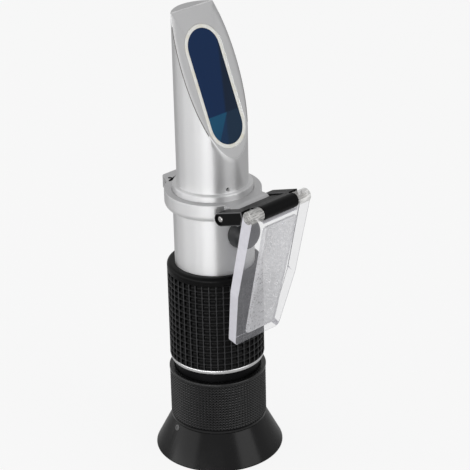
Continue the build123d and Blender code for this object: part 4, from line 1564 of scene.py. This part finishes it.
@dataclass
class PlateHinge:
    """Black link with its two arms, web and knuckle, and the two steel pins.

    Its side view starts at the collar's pin, and its length is the way to the plate's pin. A facing is the
    cosine between the normal of a face of the mesh and an axis of that view.
    """

    model: PackedModel
    rest_angle: float = 18.6
    length: float = 13.85
    arm_inner: float = 8.4
    half_height: float = 2.2
    arm_end: float = 10.9
    arm_chamfer: float = 1.5
    web_start: float = 3.6
    web_drop: float = 0.4
    web_sink: float = 0.5
    web_gap: float = 0.15
    web_rounds: tuple[float, ...] = (0.2, 0.2, 0.25, 0.25)
    web_lap: float = 0.5
    tongue_lap: float = 1.0
    tongue_rise: float = 0.03
    tongue_edge: float = 0.2
    knuckle_radius: float = 2.3
    knuckle_half_width: float = 7.4
    knuckle_edge: float = 0.25
    edge: float = 0.3
    recess_radius: float = 1.75
    recess_depth: float = 0.5
    pin_edge: float = 0.35
    round_reach: float = 0.1
    rim_facing: tuple[float, float] = (0.15, 0.97)
    edge_facing: float = 0.2
    plastic: Moulded = Moulded("link_plastic", (0.005, 0.005, 0.0053), 0.34, 0.08, 5.0, 0.002)
    # Paler plastic for the link's edges, a painted highlight
    edge_highlight: Moulded = Moulded("link_edge_painted_highlight", (0.10, 0.10, 0.104), 0.3, 0.35, 5.0, 0.002)
    steel: Metal = Metal("pin_steel", (0.62, 0.61, 0.60), 0.22, Grain.DRAWN, 0.06, 0.002)

    def link(self) -> None:
        """Two arms, a web and a knuckle drawn out across the part and joined, with the pin's recesses."""
        pivot = self.model.joint_at("link_swing")
        half_width = self.model.high("hinge_link")[0]
        place = Place.leaning(-pivot[1], pivot[2], self.rest_angle)
        round_end = np.linspace(math.pi / 2, 3 * math.pi / 2, 20)
        end = self.half_height * np.column_stack([np.cos(round_end), np.sin(round_end)])
        chamfer = (self.arm_end - self.arm_chamfer, -self.half_height)
        arm_outline = np.concatenate([end, [chamfer, (self.arm_end, 0.0), (self.arm_end, self.half_height)]])
        arms = [
            extruded("link_arm_0", arm_outline, -half_width, -self.arm_inner, self.edge, place),
            extruded("link_arm_1", arm_outline, self.arm_inner, half_width, self.edge, place),
        ]
        web_end, web_top = self.arm_end - self.web_gap, self.half_height - self.web_sink
        web = box_outline((self.web_start, -self.web_drop), (web_end, web_top))
        web_half = self.arm_inner + self.web_lap
        bridge = extruded("link_web", rounded(web, self.web_rounds, 2), -web_half, web_half, 0.0, place)
        half = self.knuckle_half_width
        tongue_low = (self.arm_end - self.tongue_lap, self.tongue_rise - self.web_drop)
        tongue_outline = box_outline(tongue_low, (self.length, self.half_height))
        tongue = extruded("link_tongue", tongue_outline, -half, half, self.tongue_edge, place, 2)
        knuckle_outline = disc_outline(self.knuckle_radius, (self.length, 0.0), 48)
        knuckle = extruded("link_knuckle", knuckle_outline, -half, half, self.knuckle_edge, place, 2)
        link = combined(arms[0], Cut.JOIN, [arms[1], bridge, tongue, knuckle])
        link.name = "hinge_link_moulding"
        recess = disc_outline(self.recess_radius, count=40)
        inner = half_width - self.recess_depth
        sinks = [
            extruded("recess_0", recess, -half_width - OVERCUT, -inner, 0.0, place),
            extruded("recess_1", recess, inner, half_width + OVERCUT, 0.0, place),
        ]
        combined(link, Cut.TAKE, sinks)
        self.model.show(link, "hinge_link", self.plastic.material(), self.edge_highlight.material(), weighted=True)
        self.mark_edges(link, place)

    def mark_edges(self, link: bpy.types.Object, place: Place) -> None:
        """Gives the narrow faces along the arms' and the web's edges a paler plastic, a painted highlight.

        Args:
            link: The link, whose second material is the painted highlight.
            place: Where its side view stands.
        """
        local, normals = face_places(link, place)
        facing = np.abs(normals)
        at_end = np.hypot(local[:, 0], local[:, 1]) < self.half_height + self.round_reach
        from_knuckle = np.hypot(local[:, 0] - self.length, local[:, 1])
        at_knuckle = from_knuckle < self.knuckle_radius + self.round_reach
        low, high = self.rim_facing
        rim = (facing[:, 2] > low) & (facing[:, 2] < high)
        edge = np.all(facing[:, :2] > self.edge_facing, axis=1) & (facing[:, 2] < low) & ~at_end
        # Painted highlight along the rims of the arms and the web, away from the knuckle
        paint(link, (rim | edge) & ~at_knuckle)

    def pin(self, node: str, joint: str, name: str) -> None:
        """Round steel pin across the part, with rounded ends.

        Args:
            node: The node that it replaces.
            joint: The joint whose axis it lies on.
            name: The piece's name.
        """
        low, high = self.model.box(node)
        centre = self.model.joint_at(joint)
        radius = float(high[2] - low[2]) / 2
        place = Place.leaning(-centre[1], centre[2], 0.0)
        pin = extruded(name, disc_outline(radius, count=40), low[0], high[0], self.pin_edge, place, 4)
        self.model.show(pin, node, self.steel.material())

    def build(self) -> None:
        """Makes the three pieces."""
        self.link()
        self.pin("link_pin", "link_swing", "link_pin_steel")
        self.pin("plate_pin", "plate_swing", "plate_pin_steel")


@dataclass
class DaylightPlate:
    """Clear tapered plate with two knuckles and a raised frosted pad, as one closed solid.

    Lengths along it start at its pin, and levels are measured from the pin too, with the front one and the
    back one on either side. A facing is the cosine between the normal of a face of the mesh and a direction
    of the plate.
    """

    model: PackedModel
    rest_angle: float = -103.72
    half_width: float = 13.1
    end_half_width: float = 10.0
    length: float = 49.7
    taper_start: float = 29.0
    front: float = 1.9
    back: float = 2.1
    end_back: float = 1.2
    corner: float = 1.6
    shoulder: float = 5.0
    notch_corner: float = 0.3
    edge: float = 0.22
    notch_half_width: float = 7.5
    notch_depth: float = 2.6
    knuckle_radius: float = 2.3
    knuckle_round: float = 0.5
    pad_half_width: float = 7.3
    pad_start: float = 4.0
    pad_length: float = 41.8
    pad_end_half_width: float = 6.3
    pad_foot: float = 0.5
    pad_level: float = 3.068
    pad_bevel: float = 0.5
    pad_corner: float = 1.0
    flat_facing: float = 0.96
    side_facing: float = 0.5
    rim_facing: float = 0.15
    skin: float = 0.02
    knuckle_lap: float = 0.05
    faces: dict[Acrylic, AcrylicFace] = field(
        default_factory=lambda: {
            Acrylic.FRONT: AcrylicFace("acrylic_front", (0.66, 0.66, 0.70), 0.26, 0.12),
            Acrylic.BACK: AcrylicFace("acrylic_back", (0.66, 0.66, 0.70), 0.12, 0.12, inside=1.0),
            # Edge faces: pale lilac, a painted reflection of the bright surroundings inside the acrylic
            Acrylic.EDGE: AcrylicFace(
                "acrylic_edge_painted_reflection", (0.78, 0.77, 0.83), 0.95, 0.3, 0.05, (0.6, 0.6, 0.6), 0.002, inside=1.0
            ),
            # Far side's rim: a painted dark line of shade
            Acrylic.RIM: AcrylicFace("acrylic_rim_painted_shade", (0.20, 0.20, 0.23), 0.95, 0.3, inside=0.1),
            Acrylic.PAD: AcrylicFace(
                "acrylic_pad",
                (0.90, 0.90, 0.93),
                0.96,
                0.5,
                0.1,
                (1.7, 1.7, 1.7),
                0.02,
                specks=0.45,
                through=0.3,
            ),
            # Knuckles: patchy streaks, painted reflections inside the acrylic
            Acrylic.KNUCKLE: AcrylicFace(
                "acrylic_knuckle_painted_reflection", (0.88, 0.87, 0.85), 0.74, 0.15, 0.65, (0.35, 2.4, 2.4), 0.05, inside=1.0
            ),
        }
    )

    def plate(self) -> None:
        """Body, knuckles and pad joined. The body's back draws nearer to its front evenly towards its end."""
        hinge = self.model.joint_at("plate_swing")
        place = Place.leaning(-hinge[1], hinge[2], self.rest_angle)
        flat = Place(place.origin, place.third, place.first, place.second)
        half, notch = self.half_width, self.notch_half_width
        outline = rounded(
            [
                (-half, 0.0),
                (-notch, 0.0),
                (-notch, self.notch_depth),
                (notch, self.notch_depth),
                (notch, 0.0),
                (half, 0.0),
                (half, self.taper_start),
                (self.end_half_width, self.length),
                (-self.end_half_width, self.length),
                (-half, self.taper_start),
            ],
            [self.notch_corner] * 6 + [self.shoulder, self.corner, self.corner, self.shoulder],
        )
        rings = rim_rings(outline, -self.back, self.front, self.edge, 2)
        taper = 1 - (1 - self.end_back / self.back) * rings[..., 1] / self.length
        rings[..., 2] = np.where(rings[..., 2] < 0, rings[..., 2] * taper, rings[..., 2])
        body = mesh_piece("daylight_plate_clear", flat.points(rings), capped=True)
        round_outline = disc_outline(self.knuckle_radius, count=48)
        knuckles = [
            extruded("knuckle_0", round_outline, -half, -notch, self.knuckle_round, place),
            extruded("knuckle_1", round_outline, notch, half, self.knuckle_round, place),
        ]
        wide, narrow = self.pad_half_width, self.pad_end_half_width
        start, end = self.pad_start, self.pad_start + self.pad_length
        pad_outline = rounded([(-wide, start), (wide, start), (narrow, end), (-narrow, end)], self.pad_corner)
        pad_rings = [
            at_level(pad_outline, self.pad_foot),
            at_level(pad_outline, self.pad_level - self.pad_bevel),
            at_level(inset(pad_outline, self.pad_bevel), self.pad_level),
        ]
        pad = mesh_piece("plate_pad", flat.points(np.array(pad_rings)), capped=True)
        combined(body, Cut.JOIN, [*knuckles, pad])
        materials = [self.faces[kind].material() for kind in Acrylic]
        self.model.show(body, "daylight_plate", *materials, weighted=True)
        self.mark_faces(body, flat)

    def mark_faces(self, body: bpy.types.Object, flat: Place) -> None:
        """Gives each face its kind of acrylic, from where it lies on the plate and which way it looks.

        Args:
            body: The plate, whose materials follow the order of Acrylic.
            flat: Where the plate lies, with its third coordinate out of its front face.
        """
        local, facing = face_places(body, flat)
        slant = np.abs(facing[:, 2])
        # Every face starts as edge, whose pale colour is a painted reflection
        kind = np.full(len(local), Acrylic.EDGE.value)
        kind[facing[:, 2] > self.flat_facing] = Acrylic.FRONT.value
        kind[facing[:, 2] < -self.flat_facing] = Acrylic.BACK.value
        far_side = (np.abs(facing[:, 1]) < self.side_facing) & (local[:, 1] > self.notch_depth)
        on_rim = (slant > self.rim_facing) & (slant < self.flat_facing) & (local[:, 0] > 0)
        # Painted shade: a dark line on the far side's rim faces only
        kind[far_side & on_rim] = Acrylic.RIM.value
        kind[local[:, 2] > self.front + self.skin] = Acrylic.PAD.value
        round_hinge = np.hypot(local[:, 1], local[:, 2]) < self.knuckle_radius + self.skin
        beside = np.abs(local[:, 0]) > self.notch_half_width - self.knuckle_lap
        # Knuckle faces carry painted reflections as patchy streaks
        kind[round_hinge & beside] = Acrylic.KNUCKLE.value
        paint(body, kind)

    def build(self) -> None:
        """Makes the plate."""
        self.plate()


@dataclass
class InnerPieces:
    """Pieces inside the housing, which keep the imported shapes."""

    model: PackedModel
    black: Metal = Metal("inner_black", (0.02, 0.02, 0.022), 0.4, Grain.TURNED)
    steel: Metal = Metal("inner_steel", (0.60, 0.60, 0.60), 0.25, Grain.DRAWN)
    brass: Metal = Metal("inner_brass", (0.62, 0.47, 0.22), 0.3, Grain.DRAWN)
    glass: Lens = Lens("inner_glass", (0.94, 0.97, 0.95))
    rubber: Moulded = Moulded("inner_rubber", (0.015, 0.015, 0.016), 0.5, 0.3)

    def build(self) -> None:
        """Gives every node that nothing replaces the finish of its slot."""
        made = {
            "black_anodised": self.black.material(),
            "steel": self.steel.material(),
            "brass": self.brass.material(),
            "optical_glass": self.glass.material(),
            "eyecup_rubber": self.rubber.material(),
        }
        for node in sorted(set(self.model.nodes) - self.model.replaced):
            self.model.keep(node, made[self.model.slots[node]])


@dataclass(frozen=True)
class Softbox:
    """Area lamp aimed at the instrument.

    Its azimuth and elevation are in degrees and its sizes in metres. Its radiance is how bright its face is,
    where a white wall under plain light has 1.
    """

    name: str
    azimuth: float
    elevation: float
    distance: float
    width: float
    height: float
    radiance: float

    def build(self, target: Sequence[float]) -> None:
        """Makes the lamp.

        Args:
            target: Where it looks, in metres.
        """
        azimuth, elevation = math.radians(self.azimuth), math.radians(self.elevation)
        level = math.cos(elevation)
        outward = np.array([math.sin(azimuth) * level, -math.cos(azimuth) * level, math.sin(elevation)])
        lamp = bpy.data.lights.new(self.name, "AREA")
        lamp.shape = "RECTANGLE"
        lamp.size = self.width
        lamp.size_y = self.height
        lamp.energy = math.pi * self.width * self.height * self.radiance
        right = unit(np.cross([0.0, 0.0, 1.0], outward))
        spot = np.array(target) + outward * self.distance
        linked(self.name, lamp).matrix_world = looking(right, np.cross(outward, right), outward, spot)


@dataclass
class Studio:
    """Camera of the photograph's view, soft lamps and a pale floor that fades into white.

    The camera's distance from the axis and its height are in millimetres, its azimuth is in degrees, and its
    other turns are in radians. Floor white is the share of plain white in what the camera sees of the floor,
    and paper is the tone of the rest. Ambient is the level of the world's light, and mirrored is its level in
    reflections.
    """

    camera_distance: float = 548.3
    camera_height: float = 330.75
    camera_azimuth: float = -43.3
    yaw: float = 0.0123
    pitch: float = 0.4342
    roll: float = -0.0226
    focal_pixels: float = 1862.3
    image_pixels: float = 470.0
    sensor: float = 36.0
    clip: tuple[float, float] = (0.01, 20.0)
    floor_size: float = 6.0
    floor_white: float = 0.88
    paper: float = 0.6
    ambient: float = 0.5
    mirrored: float = 0.55
    lamps: tuple[Softbox, ...] = (
        Softbox("key_softbox_narrow", -57.5, 1.0, 0.8, 0.50, 0.17, 2.1),
        Softbox("key_softbox_middle", -67.5, 1.0, 0.8, 0.83, 0.17, 2.2),
        Softbox("key_softbox_wide", -87.5, 1.0, 0.8, 1.75, 0.17, 1.3),
        Softbox("side_softbox", -128.0, 14.0, 1.0, 1.5, 0.5, 0.9),
        Softbox("fill_softbox", 12.0, 25.0, 1.2, 0.8, 0.9, 1.4),
        Softbox("top_softbox", 150.0, 65.0, 1.3, 1.2, 1.0, 0.5),
    )

    def camera(self) -> None:
        """Camera at its distance from the axis, turned by the photograph's yaw, pitch and roll."""
        azimuth = math.radians(self.camera_azimuth)
        turn = np.eye(3)
        turn[:2, :2] = [[math.cos(azimuth), -math.sin(azimuth)], [math.sin(azimuth), math.cos(azimuth)]]
        reach = math.cos(self.pitch)
        forward = np.array([math.sin(self.yaw) * reach, math.cos(self.yaw) * reach, -math.sin(self.pitch)])
        level = np.array([math.cos(self.yaw), -math.sin(self.yaw), 0.0])
        upright = np.cross(level, forward)
        right = math.cos(self.roll) * level + math.sin(self.roll) * upright
        up = -math.sin(self.roll) * level + math.cos(self.roll) * upright
        spot = turn @ np.array([0.0, -self.camera_distance, self.camera_height]) * METRES
        lens = bpy.data.cameras.new("photograph_view")
        lens.sensor_width = self.sensor
        lens.lens = self.focal_pixels * self.sensor / self.image_pixels
        lens.clip_start, lens.clip_end = self.clip
        camera = linked("photograph_view", lens)
        camera.matrix_world = looking(turn @ right, turn @ up, turn @ -forward, spot)
        bpy.context.scene.camera = camera

    def floor(self) -> None:
        """Flat pale floor that keeps a soft shadow and is nearly white to the camera."""
        half = self.floor_size / 2
        corners = at_level(box_outline((-half, -half), (half, half)), 0.0)
        mesh = bpy.data.meshes.new("floor")
        mesh.from_pydata(corners.tolist(), [], [(0, 1, 2, 3)])
        shader = Shader("floor_white")
        paper = shader.node("ShaderNodeBsdfDiffuse", {}, {"Color": (self.paper,) * 3 + (1.0,)})
        glow = shader.node("ShaderNodeEmission", {}, {"Color": (1.0, 1.0, 1.0, 1.0), "Strength": 1.0})
        path = shader.node("ShaderNodeLightPath", {}, {}, "Is Camera Ray")
        share = path * self.floor_white
        shader.end(shader.node("ShaderNodeMixShader", {}, {0: share, 1: paper, 2: glow}))
        mesh.materials.append(shader.material)
        linked("floor", mesh)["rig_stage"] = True

    def world(self) -> None:
        """White to the camera and in reflections and glass, and a plain level of light for the rest."""
        world = bpy.data.worlds.new("studio")
        nodes = Nodes(world)
        rays = ("Is Camera Ray", "Is Glossy Ray", "Is Transmission Ray")
        camera, glossy, through = (nodes.node("ShaderNodeLightPath", {}, {}, ray) for ray in rays)
        lit = glossy * (self.mirrored - self.ambient) + self.ambient
        level = camera.math("MAXIMUM", through) * (1 - lit) + lit
        backdrop = nodes.node("ShaderNodeBackground", {}, {"Color": (1.0, 1.0, 1.0, 1.0), "Strength": level})
        nodes.end(backdrop, "ShaderNodeOutputWorld")
        bpy.context.scene.world = world

    def build(self, target: Sequence[float]) -> None:
        """Makes the studio.

        Args:
            target: What the lamps look at, in metres.
        """
        self.camera()
        self.floor()
        self.world()
        for lamp in self.lamps:
            lamp.build(target)
        bpy.context.scene.view_settings.view_transform = "Standard"


def main() -> None:
    """Builds the studio and the pieces."""
    logging.basicConfig(level=logging.INFO, format="%(name)s: %(message)s")
    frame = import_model()
    cad_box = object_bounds()
    model = PackedModel(frame)
    middle = (cad_box[0] + cad_box[1]) / 2
    Studio().build(tuple(middle))
    for assembly in (Eyepiece(model), Housing(model), Head(model), PlateHinge(model), DaylightPlate(model)):
        assembly.build()
    InnerPieces(model).build()
    bpy.context.view_layer.update()


if __name__ == "__main__":
    main()
